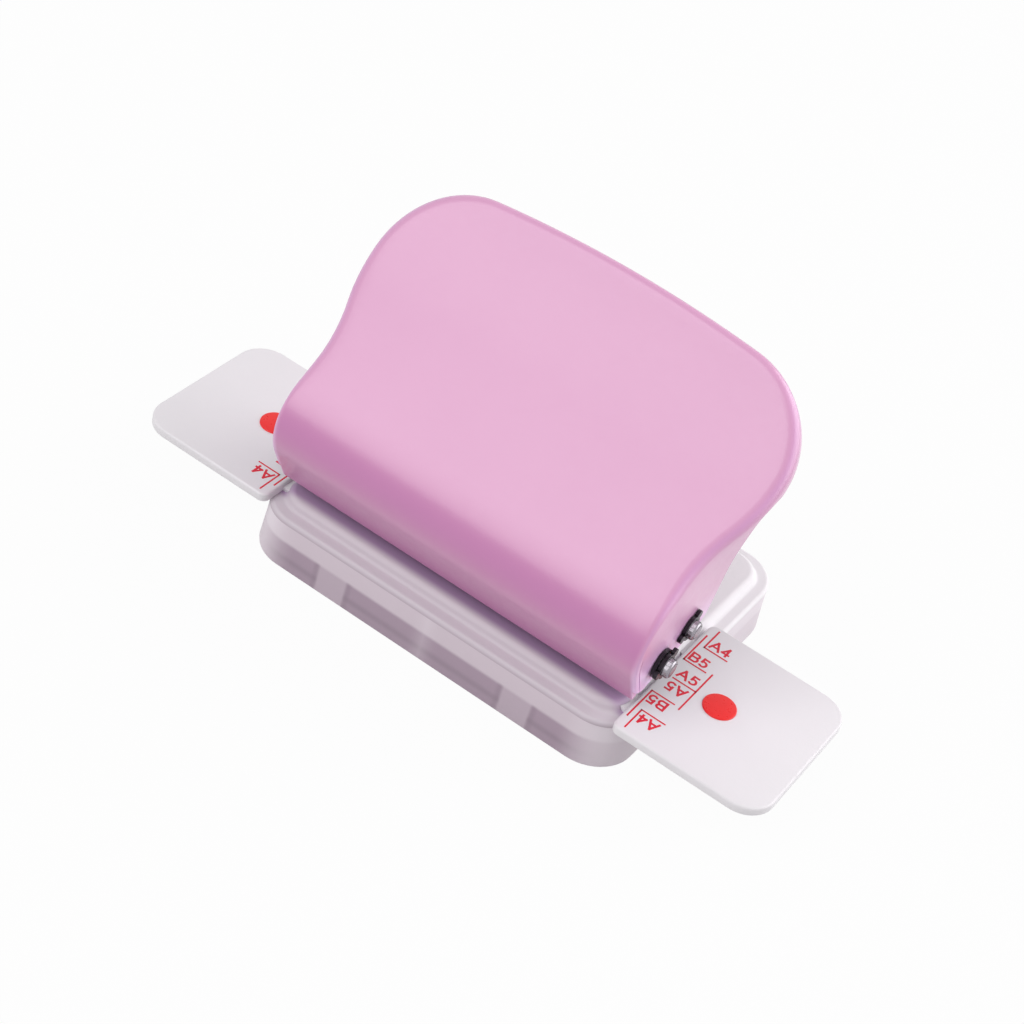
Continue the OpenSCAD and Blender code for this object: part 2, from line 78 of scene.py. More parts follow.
def angle(name, description, degrees):
    """An angle that a user can change."""
    return FloatProperty(name=name, description=description, default=math.radians(degrees), subtype="ANGLE")


def linear(value):
    """One channel, 0 to 255 as seen on a screen, as scene light."""
    value /= 255
    return value / 12.92 if value <= 0.04045 else ((value + 0.055) / 1.055) ** 2.4


def colour(name, description, red, green, blue):
    """A colour that a user can change, given as seen on a screen."""
    return FloatVectorProperty(name=name, description=description, subtype="COLOR", size=3, min=0, max=1,
                               default=(linear(red), linear(green), linear(blue)))


class LeverSizes(bpy.types.PropertyGroup):
    """Sizes of the bent sheet lever."""

    sheet: size("Sheet", "Thickness of the sheet", 1)
    cheek_half: size("Cheek half width", "From the middle to the outside of a cheek", 33.7)
    paddle_half: size("Paddle half width", "From the middle to the paddle's side", 37.1)
    lip_front: size("Lip front", "Skirt's lower edge in front of the punch line", 10.7)
    lip_rise: size("Lip rise", "Skirt's lower edge above the deck", 1.9)
    lip_angle: angle("Lip angle", "Lean of the skirt", 118)
    lip_length: size("Lip length", "Straight length of the skirt", 7.5)
    nose_radius: size("Nose radius", "Radius of the bend over the nose", 9.8)
    plate_angle: angle("Plate angle", "Slope of the plate behind the nose", 36.5)
    plate_length: size("Plate length", "Straight length of the plate", 18.6)
    scoop_radius: size("Scoop radius", "Radius of the hollow under the palm", 51.3)
    tip_angle: angle("Tip angle", "Slope of the plate at the paddle's end", 61)
    flare_from: size("Flare start", "Where the sides begin to flare, along the plate", 4.4)
    paddle_corner: size("Paddle corner", "Corner radius of the paddle", 15.2)
    crown_radius: size("Crown radius", "Radius of the paddle's bowed end", 245)
    edge_radius: size("Edge radius", "Radius of the bend between plate and rim", 1.9)
    skirt_edge: size("Skirt edge", "Radius of the skirt's ends", 0.7)
    rim_depth: size("Rim depth", "Depth of the turned rim round the paddle", 3.1)
    seam: size("Seam", "Width of the open seam between skirt and cheek", 0.16)
    pin_play: size("Pin play", "Room round a pin in its hole", 0.05)


class BaseSizes(bpy.types.PropertyGroup):
    """Sizes of the deck and the chip tray."""

    wall: size("Tray wall", "Thickness of the tray's wall", 1.4)
    floor: size("Tray floor", "Thickness of the tray's floor", 1.2)
    draft: size("Draft", "How far the tray's wall leans in", 0.5)
    tray_corner: size("Tray corner", "Corner radius of the tray", 7.4)
    flange_inset: size("Flange inset", "Flange's distance inside the tray's foot", 0.5)
    ledge_end: size("End ledge", "Ledge at each end of the raised deck", 2.8)
    ledge_front: size("Front ledge", "Ledge along the front of the raised deck", 3)
    deck_slope: size("Deck slope", "How far the raised deck's side leans in", 0.5)
    deck_round: size("Deck rounding", "Rounding of the deck's upper edge", 0.8)
    skirt_gap: size("Skirt gap", "Gap between the plug skirt and the tray", 0.3)
    skirt_wall: size("Skirt wall", "Thickness of the plug skirt", 1.2)
    rib_middle: size("Rib middle", "Distance of each wall rib from the middle", 17.6)
    rib_width: size("Rib width", "Width of a wall rib", 5.4)
    rib_depth: size("Rib depth", "How far a rib stands in from the wall", 1.5)
    rib_top: size("Rib top", "Top of a wall rib above the desk", 4.8)
    foot_round: size("Foot rounding", "Rounding of the tray's foot", 0.35)
    step_round: size("Step rounding", "Rounding at the foot of the raised deck", 0.5)
    flange_round: size("Flange rounding", "Rounding of the flange's upper edge", 0.7)
    plug_depth: size("Plug depth", "Depth of the plug skirt in the tray", 3.1)
    boss_radius: size("Boss radius", "Radius of the screw bosses under the deck", 2.8)
    boss_inset: size("Boss inset", "Boss's middle inside the outer end of its screw", 2.5)
    boss_sink: size("Boss sink", "How far a boss reaches into the deck", 0.05)
    pocket_gap: size("Pocket gap", "Room round the die plate", 0.05)
    chip_gap: size("Chip gap", "Room round the row of punches in the chip slot", 0.4)


class GuideSizes(bpy.types.PropertyGroup):
    """Sizes of the paper guides and their printed marks."""

    inner_corner: size("Inner corner", "Corner radius at the inner end", 1.4)
    outer_corner: size("Outer corner", "Corner radius at the outer end", 5)
    gap: size("Deck gap", "Gap between the guide and the raised deck", 0.3)
    edge: size("Edge rounding", "Rounding of the guide's upper edge", 0.4)
    foot: size("Foot rounding", "Rounding of the guide's lower edge", 0.12)
    line: size("Line width", "Width of a printed line", 0.27)
    ink: size("Ink height", "Height of the print above the guide", 0.02)
    letter: size("Letter height", "Height of the printed letters", 2.2)
    stroke: size("Stroke", "Width of a letter's strokes", 0.4)
    spacing: size("Letter spacing", "Space between two letters", 0.1)
    peg_play: size("Peg play", "Room round a peg in its hole", 0.01)
    prong_middle: size("Prong middle", "Distance of each prong from the punch line", 8.4)
    prong_width: size("Prong width", "Width of a prong", 4)
    prong_thick: size("Prong thickness", "Thickness of a prong", 0.8)
    prong_reach: size("Prong reach", "How far a prong reaches into the guide", 1.5)
    prong_play: size("Prong play", "Room round a prong in its slot", 0.1)


class SpringSizes(bpy.types.PropertyGroup):
    """Sizes of the return springs."""

    wire: size("Wire", "Diameter of the wire", 0.7)
    coil: size("Coil radius", "Mean radius of the coils", 2.4)
    seat: size("Seat", "Thickness of the frame's plate under the spring's foot", 2.2)
    foot_gap: size("Foot gap", "Height of the foot above the frame's plate", 0.25)
    tip_drop: size("Tip drop", "How far the wire ends below its highest point", 0.1)
    turns: FloatProperty(name="Turns", description="Turns of each spring", default=7.25)
    steps: IntProperty(name="Steps", description="Points in each turn", default=32)


class PinSizes(bpy.types.PropertyGroup):
    """Sizes of the pins' ends."""

    rounding: size("End rounding", "Rounding of the pins' ends", 0.45)
    sides: IntProperty(name="Sides", description="Sides of a pin", default=80)


class PegSizes(bpy.types.PropertyGroup):
    """Sizes of the guides' pegs."""

    rise: size("Peg rise", "Height of the peg's rim above the guide", 0.22)
    rounding: size("Peg rounding", "Rounding of the peg's upper edge", 0.14)
    crown: size("Peg crown", "How far the middle of the peg stands above its rim", 0.1)


class FinishColours(bpy.types.PropertyGroup):
    """Colours of the finishes."""

    paint: colour("Paint", "Satin paint of the lever", 216, 155, 194)
    paint_shade: colour("Paint shade", "Deeper tone that drifts through the paint", 212, 150, 190)
    # Painted shade on the lever's paint: deeper over the nose, deepest at its front
    paint_nose_shade: colour("Paint fold", "Deeper tone of the paint over the nose", 199, 128, 174)
    paint_crease_shade: colour("Paint crease", "Deepest tone of the paint, at the front of the nose", 195, 122, 174)
    # Painted shade: a dark painted reflection along the bend where the plate turns down at its sides
    paint_bend_shade: colour("Paint bend", "Tone of the paint where the plate turns down at its sides", 200, 142, 202)
    # Painted reflected light: a paler, bluer foot low on the cheeks
    paint_low_reflection: colour("Paint low", "Paler tone of the paint low on the cheeks", 238, 199, 246)
    frost: colour("Frost", "Front of the frosted tray, over the deck's skirt", 214, 200, 210)
    # Painted shade: the tray's shaded inside, as if seen through its frosted lower wall
    frost_inside_shade: colour("Deep frost", "Front of the frosted tray, over its dark inside", 169, 149, 165)
    frost_pale: colour("Pale frost", "Sides and back of the frosted tray", 233, 223, 231)
    white: colour("White", "White plastic of the guides", 230, 226, 230)
    deck: colour("Deck", "White plastic of the deck", 247, 243, 247)
    # Painted shade on the deck's front: one tone for its flat faces and a darker one for its upright faces
    deck_front_shade: colour("Deck front", "Front of the deck, over the tray's dark inside", 210, 204, 210)
    deck_step_shade: colour("Deck step", "Upright faces at the deck's front", 191, 176, 187)
    # Painted shade under the lever's lip, tinted with the lever's colour as a painted reflection
    deck_shade: colour("Deck shade", "Deck under the lever's lip", 174, 144, 180)
    ink: colour("Ink", "Print on the guides", 222, 14, 50)
    peg: colour("Peg", "Red plastic of the pegs", 236, 22, 24)
    steel: colour("Steel", "Plated steel inside", 186, 188, 192)
    bright: colour("Bright steel", "Pins, screws and springs", 166, 161, 168)
    dark: colour("Dark steel", "Blackened clips and washers", 46, 42, 48)


class StageLight(bpy.types.PropertyGroup):
    """Light round the punch."""

    sky: FloatProperty(name="Sky", description="Strength of the even light", default=0.48)
    key: FloatProperty(name="Key", description="Power of the large lamp in front", default=5.8)
    side: FloatProperty(name="Side", description="Power of the lamp at the right", default=9.3)
    back: FloatProperty(name="Back", description="Power of the lamp above and behind", default=1.4)


SETTINGS = {"punch_lever": LeverSizes, "punch_base": BaseSizes, "punch_guide": GuideSizes,
            "punch_spring": SpringSizes, "punch_pin": PinSizes, "punch_peg": PegSizes,
            "punch_finish": FinishColours, "punch_stage": StageLight}


# Modelling helpers

SIDES = ((1, "right"), (-1, "left"))
NEAR = 1e-6
OUTLINE_NEAR = 0.35 * MM


def clear_selection():
    """Object mode with nothing selected."""
    if bpy.context.object and bpy.context.object.mode != "OBJECT":
        leave_edit()
    bpy.ops.object.select_all(action="DESELECT")


def activate(piece):
    """Object mode with one piece selected."""
    clear_selection()
    piece.select_set(True)
    bpy.context.view_layer.objects.active = piece


def rename(piece, name):
    piece.name = piece.data.name = name


def new_piece(name, add, **options):
    """A primitive, alone in the selection, under its own name."""
    clear_selection()
    add(**options)
    rename(bpy.context.object, name)
    return bpy.context.object


def edit(piece, kind):
    """Edit mode on one piece, with one kind of element to select."""
    activate(piece)
    bpy.ops.object.mode_set(mode="EDIT")
    bpy.ops.mesh.select_mode(type=kind)


def leave_edit():
    bpy.ops.object.mode_set(mode="OBJECT")


def unselect(mesh):
    for elements in (mesh.vertices, mesh.edges, mesh.polygons):
        elements.foreach_set("select", [False] * len(elements))


def pick(piece, kind, test):
    """Selects, in edit mode, the elements of one kind whose every corner passes a test of its place."""
    leave_edit()
    mesh = piece.data
    unselect(mesh)
    passed = [bool(test(v.co)) for v in mesh.vertices]
    if kind == "VERT":
        mesh.vertices.foreach_set("select", passed)
    else:
        for element in mesh.edges if kind == "EDGE" else mesh.polygons:
            element.select = all(passed[i] for i in element.vertices)
    edit(piece, kind)


def round_edges(piece, test, radius, segments):
    """Rounds the edges whose ends pass a test of their place."""
    pick(piece, "EDGE", test)
    bpy.ops.mesh.bevel(offset=radius, segments=segments, affect="EDGES")
    leave_edit()


def round_corners(radius):
    """Rounds the selected corners of a flat plate."""
    bpy.ops.mesh.bevel(offset=radius, segments=12, affect="VERTICES")


def select_faces():
    bpy.ops.mesh.select_mode(type="FACE")
    bpy.ops.mesh.select_all(action="SELECT")


def extrude(height):
    bpy.ops.mesh.extrude_region_move(TRANSFORM_OT_translate={"value": (0, 0, height)})


def modify(piece, kind, **values):
    """Adds a modifier with these values and applies it."""
    activate(piece)
    modifier = piece.modifiers.new(kind.title(), kind)
    for name, value in values.items():
        setattr(modifier, name, value)
    bpy.ops.object.modifier_apply(modifier=modifier.name)


def cut(piece, cutters, crossed=False):
    """Takes the cutters out of a piece, which may cross itself, and removes them."""
    for cutter in cutters:
        modify(piece, "BOOLEAN", object=cutter, operation="DIFFERENCE", solver="EXACT", use_self=crossed)
        bpy.data.objects.remove(cutter)


def join(piece, others):
    """Joins other meshes to a piece."""
    activate(piece)
    for other in others:
        other.select_set(True)
    bpy.ops.object.join()
    return piece


def apply_place():
    bpy.ops.object.transform_apply(location=True, rotation=True, scale=True)


def box_between(name, low, high):
    """A box from its lowest to its highest corner, with its place in its mesh."""
    low, high = Vector(low), Vector(high)
    piece = new_piece(name, bpy.ops.mesh.primitive_cube_add, size=1, location=(low + high) / 2)
    piece.scale = high - low
    apply_place()
    return piece


def rod(name, middle, radius, length, axis="X", sides=64):
    """A round bar along an axis, with its place in its mesh."""
    turn = {"X": (0, math.pi / 2, 0), "Z": (0, 0, 0)}[axis]
    piece = new_piece(name, bpy.ops.mesh.primitive_cylinder_add, vertices=sides, radius=radius, depth=length,
                      location=middle, rotation=turn)
    apply_place()
    return piece


def plate(name, half_length, half_depth, z=0):
    """A flat plate round the Z axis, in edit mode."""
    piece = new_piece(name, bpy.ops.mesh.primitive_plane_add, size=2, location=(0, 0, z))
    piece.scale = (half_length, half_depth, 1)
    apply_place()
    edit(piece, "VERT")
    return piece


def round_plate(name, half_length, half_depth, corner, z):
    """A flat plate with round corners, left in edit mode with its face selected."""
    piece = plate(name, half_length, half_depth, z)
    bpy.ops.mesh.select_all(action="SELECT")
    round_corners(corner)
    select_faces()
    return piece


def tube(name, lines, half):
    """A round wire along each of some lines of points, as one mesh."""
    made = new_piece(name, bpy.ops.curve.primitive_nurbs_path_add)
    made.data.splines.clear()
    for line in lines:
        spline = made.data.splines.new("POLY")
        spline.points.add(len(line) - 1)
        for point, place in zip(spline.points, line):
            point.co = (*place, 1)
    made.data.dimensions = "3D"
    made.data.bevel_depth = half
    made.data.bevel_resolution = 4
    made.data.use_fill_caps = True
    bpy.ops.object.convert(target="MESH")
    made = bpy.context.object
    rename(made, name)
    face_outwards(made)
    return made


def near_outline(point, half_length, half_depth, corner):
    """True for a point close to a round-cornered outline."""
    x, y = abs(point.x) - half_length + corner, abs(point.y) - half_depth + corner
    return abs(math.hypot(max(x, 0), max(y, 0)) + min(max(x, y), 0) - corner) < OUTLINE_NEAR


def face_outwards(piece):
    edit(piece, "FACE")
    bpy.ops.mesh.select_all(action="SELECT")
    bpy.ops.mesh.remove_doubles(threshold=1e-7)
    bpy.ops.mesh.normals_make_consistent(inside=False)
    leave_edit()


def dress(piece, body, material, nodes=(), smooth=35):
    """Shades a finished piece, gives it its finish and sets it on its body."""
    activate(piece)
    bpy.ops.object.shade_smooth_by_angle(angle=math.radians(smooth))
    piece.data.materials.clear()
    piece.data.materials.append(material)
    if nodes:
        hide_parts(*nodes)
    if body:
        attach(piece, body)


# Finishes

class Nodes:
    """A node tree under construction."""

    def __init__(self, tree):
        self.tree = tree

    def put(self, socket, value):
        """Feeds a socket from another one, or sets it."""
        if isinstance(value, bpy.types.NodeSocket):
            self.tree.links.new(value, socket)
        else:
            socket.default_value = value

    def add(self, kind, inputs=None, **values):
        """A node with these values, and with these inputs by name or number."""
        made = self.tree.nodes.new(kind)
        for name, value in values.items():
            setattr(made, name, value)
        for socket, value in (inputs or {}).items():
            self.put(made.inputs[socket], value)
        return made

    def maths(self, operation, first, second=0.0):
        return self.add("ShaderNodeMath", {0: first, 1: second}, operation=operation).outputs[0]

    def product(self, *factors):
        return reduce(lambda first, second: self.maths("MULTIPLY", first, second), factors)

    def but(self, mask):
        """A mask turned round."""
        return self.maths("SUBTRACT", 1.0, mask)

    def mix(self, factor, first, second):
        """A colour between two, each a colour or a socket."""
        first, second = (tone if isinstance(tone, bpy.types.NodeSocket) else (*tone, 1) for tone in (first, second))
        return self.add("ShaderNodeMix", {0: factor, 6: first, 7: second}, data_type="RGBA").outputs[2]

    def mix_shaders(self, factor, first, second, target):
        """A shader between two, fed to the output node of this name."""
        both = self.add("ShaderNodeMixShader", {0: factor, 1: first.outputs[0], 2: second.outputs[0]})
        self.put(self.tree.nodes[target].inputs["Surface"], both.outputs[0])


class Finish(Nodes):
    """A material under construction: its shader, and where each point lies and faces."""

    def __init__(self, name, **constants):
        self.material = bpy.data.materials.new(name)
        self.material.use_nodes = True
        super().__init__(self.material.node_tree)
        self.shader = self.tree.nodes["Principled BSDF"].inputs
        for socket, value in constants.items():
            self.shader[socket.replace("_", " ")].default_value = value
        where = self.add("ShaderNodeTexCoord").outputs
        self.place, self.facing = where["Object"], where["Normal"]

    def split(self, vector):
        """The three parts of a vector."""
        return self.add("ShaderNodeSeparateXYZ", {0: vector}).outputs

    def band(self, value, low, high, soft):
        """1 where a value lies between two limits, with soft edges."""
        inputs = {"Value": value, "From": low, "To": high, "Soft": soft}
        return self.add("ShaderNodeGroup", inputs, node_tree=shared(band_group)).outputs["Mask"]

    def drift(self, scale, first, second):
        """A colour that wanders slowly between two tones."""
        noise = self.add("ShaderNodeTexNoise", {"Vector": self.place, "Scale": scale, "Detail": 2})
        return self.mix(noise.outputs["Fac"], first, second)

    def done(self, tone, grain, depth, low, high):
        """Sets the colour, and fine grain: its scale, the depth of its bump and the roughness between two values."""
        inputs = {"Place": self.place, "Scale": grain, "Low": low, "High": high}
        fine = self.add("ShaderNodeGroup", inputs, node_tree=shared(grain_group)).outputs
        bump = self.add("ShaderNodeBump", {"Strength": 1, "Distance": depth, "Height": fine["Height"]})
        self.put(self.shader["Base Color"], tone)
        self.put(self.shader["Roughness"], fine["Roughness"])
        self.put(self.shader["Normal"], bump.outputs["Normal"])
        return self.material


def node_group(name, vectors, values, results):
    """A shader node group with named sockets, and its input and output sockets."""
    made = Nodes(bpy.data.node_groups.new(name, "ShaderNodeTree"))
    for sockets, way, kind in ((vectors, "INPUT", "Vector"), (values, "INPUT", "Float"), (results, "OUTPUT", "Float")):
        for socket in sockets:
            made.tree.interface.new_socket(socket, in_out=way, socket_type="NodeSocket" + kind)
    return made, made.add("NodeGroupInput").outputs, made.add("NodeGroupOutput").inputs


def grain_group():
    """Fine grain of a surface: a height and a roughness that drift together."""
    made, given, out = node_group("Surface grain", ["Place"], ["Scale", "Low", "High"], ["Height", "Roughness"])
    noise = made.add("ShaderNodeTexNoise", {"Vector": given["Place"], "Scale": given["Scale"], "Detail": 3})
    height = noise.outputs["Fac"]
    spread = made.add("ShaderNodeMapRange", {"Value": height, "From Min": 0.3, "From Max": 0.7,
                                             "To Min": given["Low"], "To Max": given["High"]})
    made.put(out["Height"], height)
    made.put(out["Roughness"], spread.outputs["Result"])
    return made.tree


def band_group():
    """A soft-edged band: 1 where a value lies between two limits, 0 outside."""
    made, given, out = node_group("Soft band", [], ["Value", "From", "To", "Soft"], ["Mask"])
    edges = []
    for more, less in (("Value", "From"), ("To", "Value")):
        share = made.maths("DIVIDE", made.maths("SUBTRACT", given[more], given[less]), given["Soft"])
        edges.append(made.add("ShaderNodeMapRange", {"Value": share, "From Min": -1},
                              interpolation_type="SMOOTHSTEP").outputs["Result"])
    made.put(out["Mask"], made.product(*edges))
    return made.tree


GROUPS = {}
FINISHES = {}
EVERYWHERE = -1.0


def shared(make):
    """A node group, made once."""
    if make not in GROUPS:
        GROUPS[make] = make()
    return GROUPS[make]


def shade(tone, factor):
    return tuple(channel * factor for channel in tone)


# The paint's painted shade and painted light, each from, to and how soft: the painted shade round the nose and the
# deeper painted shade at its front, in degrees from level, and the painted shade at the bend of the sheet by how far a
# point faces sideways. Then the share of the bend's painted shade, the cheeks' place outside the sheet's edge, and the
# height of their pale foot of painted reflected light
NOSE_SHADE_BAND, CREASE_SHADE_BAND, BEND_SHADE_BAND = (-38, 120, 22), (-26, 6, 14), (0.45, 0.85, 0.2)
BEND_SHADE_SHARE = 0.3
SHEET_INSET, SHEET_SOFT = 0.7 * MM, 0.5 * MM
FOOT_HEIGHT, FOOT_SOFT = 10 * MM, 6 * MM


def paint_finish(tones):
    """Satin paint, with painted shade over the nose and along the bends of the sheet, and a paler foot of painted
    reflected light low on the cheeks.
    """
    made = Finish("Satin pink paint", Coat_Weight=0.8, Coat_Roughness=0.25)
    form = LeverForm(bpy.context.scene.punch_lever)
    x, y, z = made.split(made.place)
    turn = made.maths("ARCTAN2", made.maths("SUBTRACT", form.nose.y, z), made.maths("SUBTRACT", form.nose.x, y))
    nose, crease_shade = (made.band(turn, *map(math.radians, limits)) for limits in (NOSE_SHADE_BAND, CREASE_SHADE_BAND))
    sheet = made.band(made.maths("ABSOLUTE", x), EVERYWHERE, form.s.cheek_half - SHEET_INSET, SHEET_SOFT)
    nose_shade = made.product(nose, sheet)
    low = made.band(z, EVERYWHERE, DECK_Z + FOOT_HEIGHT, FOOT_SOFT)
    bend = made.band(made.maths("ABSOLUTE", made.split(made.facing)["X"]), *BEND_SHADE_BAND)
    tone = made.drift(60, tones.paint, tones.paint_shade)
    # Painted shade over the nose, and deeper painted shade at its front
    tone = made.mix(nose_shade, tone, tones.paint_nose_shade)
    tone = made.mix(made.product(nose_shade, crease_shade), tone, tones.paint_crease_shade)
    # Painted shade: a dark painted reflection along the bends at the plate's sides
    tone = made.mix(made.product(bend, BEND_SHADE_SHARE), tone, tones.paint_bend_shade)
    # Painted reflected light: paler and bluer low on the cheeks, outside the sheet's edge
    tone = made.mix(made.product(low, made.but(sheet)), tone, tones.paint_low_reflection)
    return made.done(tone, 900, 0.00002, 0.36, 0.44)


def frost_finish(tones):
    """Frosted plastic, with painted shade where the dark inside, the floor and the ribs would show softly through its
    lower wall.
    """
    made = Finish("Frosted plastic")
    s = bpy.context.scene.punch_base
    x, y, z = made.split(made.place)
    across = made.maths("ABSOLUTE", x)

    def mask(value, low, high, soft):
        return made.band(value, low * MM, high * MM, soft * MM)

    rib_low, rib_high = ((s.rib_middle + half * s.rib_width / 2) / MM for half in (-1, 1))
    # Painted shade: the tray's shaded inside, the line of its floor and the sides of its ribs are painted darker on
    # the front's lower wall, as if seen through it, and less dark over the ribs
    inside = mask(z, -2, 5.1, 0.4)
    front = made.product(mask(y, -60, -21, 3.5), mask(across, -1, 29, 4))
    rib = made.product(mask(across, rib_low, rib_high, 0.35), front)
    rib_side_shade = made.product(made.maths("ADD", mask(across, rib_low - 0.9, rib_low, 0.4),
                                        mask(across, rib_high, rib_high + 0.9, 0.4)), front)
    floor_line_shade = made.product(mask(z, 1.8, 2.5, 0.7), made.but(rib))
    frost, inside_shade, pale = tones.frost, tones.frost_inside_shade, tones.frost_pale
    tone = made.mix(made.product(inside, made.but(made.product(rib, 0.45))),
                    made.drift(90, frost, shade(frost, 0.95)), inside_shade)
    tone = made.mix(made.product(floor_line_shade, 0.75), tone, shade(inside_shade, 0.7))
    tone = made.mix(made.product(rib_side_shade, inside, 0.4), tone, shade(inside_shade, 0.72))
    # Painted shade on the sides and back: their lower wall half way from the pale tone to the front's tone
    sides = made.mix(made.product(inside, 0.5), made.drift(90, pale, shade(pale, 0.96)), frost)
    return made.done(made.mix(front, sides, tone), 1600, 0.00002, 0.42, 0.55)


# Where the deck's front with its painted shade, and the painted shade under the lever's lip, begin and end along Y,
# and how soft each change is
DECK_FRONT_SHADE, DECK_LIP_SHADE = (-17 * MM, 3 * MM), (-21.7 * MM, 0.8 * MM)


def deck_finish(tones):
    """White plastic with painted shade on its front steps, darker on their upright faces, and painted shade under the
    lever's lip, tinted with the lever's colour as a painted reflection.
    """
    made = Finish("Deck plastic", Specular_IOR_Level=0.3)
    y = made.split(made.place)["Y"]
    front, before_lip = (made.band(y, EVERYWHERE, *limits) for limits in (DECK_FRONT_SHADE, DECK_LIP_SHADE))
    flat = made.maths("MAXIMUM", made.split(made.facing)["Z"], 0.0)
    # Painted shade on the deck's front: one tone on its flat faces and a darker one on its upright faces
    tone = made.mix(flat, tones.deck_step_shade, tones.deck_front_shade)
    # Painted shade under the lever's lip, in the lever's colour, on the deck's flat faces
    tone = made.mix(made.product(flat, made.but(before_lip)), tone, tones.deck_shade)
    tone = made.mix(front, made.drift(70, tones.deck, shade(tones.deck, 0.96)), tone)
    return made.done(tone, 1500, 0.00001, 0.45, 0.55)


def plain_finish(name, tone, drift_scale, dip, *grain, **constants):
    """A finish of one tone that drifts a little, with fine grain."""
    made = Finish(name, **constants)
    return made.done(made.drift(drift_scale, tone, shade(tone, dip)), *grain)


def brushed_finish(name, tone, low, high):
    """Plated steel with fine lines along the row of punches."""
    made = Finish(name, Metallic=1.0)
    made.place = made.add("ShaderNodeMapping", {"Vector": made.place, "Scale": (0.06, 1, 1)}).outputs["Vector"]
    return made.done(made.drift(2200, tone, shade(tone, 0.82)), 2600, 0.00001, low, high)


# What makes each finish from the colours
MAKERS = {
    "paint": paint_finish,
    "frost": frost_finish,
    "deck": deck_finish,
    "white": lambda tones: plain_finish("White plastic", tones.white, 70, 0.96, 1500, 0.00001, 0.34, 0.42),
    "ink": lambda tones: plain_finish("Red print", tones.ink, 900, 0.86, 2600, 0.000004, 0.45, 0.6),
    "peg": lambda tones: plain_finish("Red plastic", tones.peg, 300, 0.96, 1800, 0.000006, 0.26, 0.36),
    "steel": lambda tones: brushed_finish("Plated steel", tones.steel, 0.28, 0.42),
    "bright": lambda tones: plain_finish("Bright steel", tones.bright, 500, 0.8, 1200, 0.000004, 0.08, 0.16,
                                         Metallic=1.0),
    "dark": lambda tones: plain_finish("Blackened steel", tones.dark, 700, 0.6, 1600, 0.00001, 0.2, 0.34,
                                       Metallic=0.7),
}


def finish(name):
    """A finish by name, made once."""
    if name not in FINISHES:
        FINISHES[name] = MAKERS[name](bpy.context.scene.punch_finish)
    return FINISHES[name]


# The lever

def polar(turn):
    return Vector((math.cos(turn), math.sin(turn)))


# The outline is drawn as seen square to this slope
SQUARE_VIEW = math.radians(45)
# Where the bend at the plate's edge begins to widen, before the plate's start, and over what length
WIDEN_FROM, WIDEN_OVER = 8.5 * MM, 15 * MM
# The cheek's lower edge, from its front to the paddle's rim: millimetres behind the punch line and above the deck
CHEEK_EDGE = (
    (-10.3, 3.95), (-8.9, 4.2), (-5, 5.3), (-0.2, 6.6), (3.6, 7.6), (5.4, 8.15), (6.3, 8.8), (6.7, 9.9),
    (6.95, 12), (6.9, 14.5), (6.5, 17.2), (6.0, 19.6), (5.5, 22.2), (5.0, 25), (4.7, 27.5), (4.75, 29.4),
    (5.2, 30.6), (6.2, 31.5), (7.6, 32.3))
# Where the rim's lower edge begins round the scoop, and how far its last point lies past the paddle's end
RIM_START, RIM_PAST = math.radians(42), 4 * MM
# Rows of points up the skirt, in millimetres from its lip, and the row where the cheeks begin
SKIRT_ROWS, CHEEK_ROW = (0, 1.1, 2.2, 3.2, 4.6, 6), 3
CORNER_MIDDLE = math.radians(45)
# The seam's places up the skirt in millimetres, its steps round the nose, and its ends inside and outside the cheek
SEAM_ROWS, SEAM_TURNS = (1.5, 4, 6.5), [math.radians(4) * k for k in range(8)]
SEAM_INSIDE, SEAM_OUTSIDE = 0.6 * MM, 1 * MM
# How far apart two neighbours along the edge may be, the length before the flare where the rows begin to bow, and a
# length that reaches through both cheeks
NEIGHBOURS, BOW_LEAD, ACROSS = 6 * MM, 2 * MM, 90 * MM


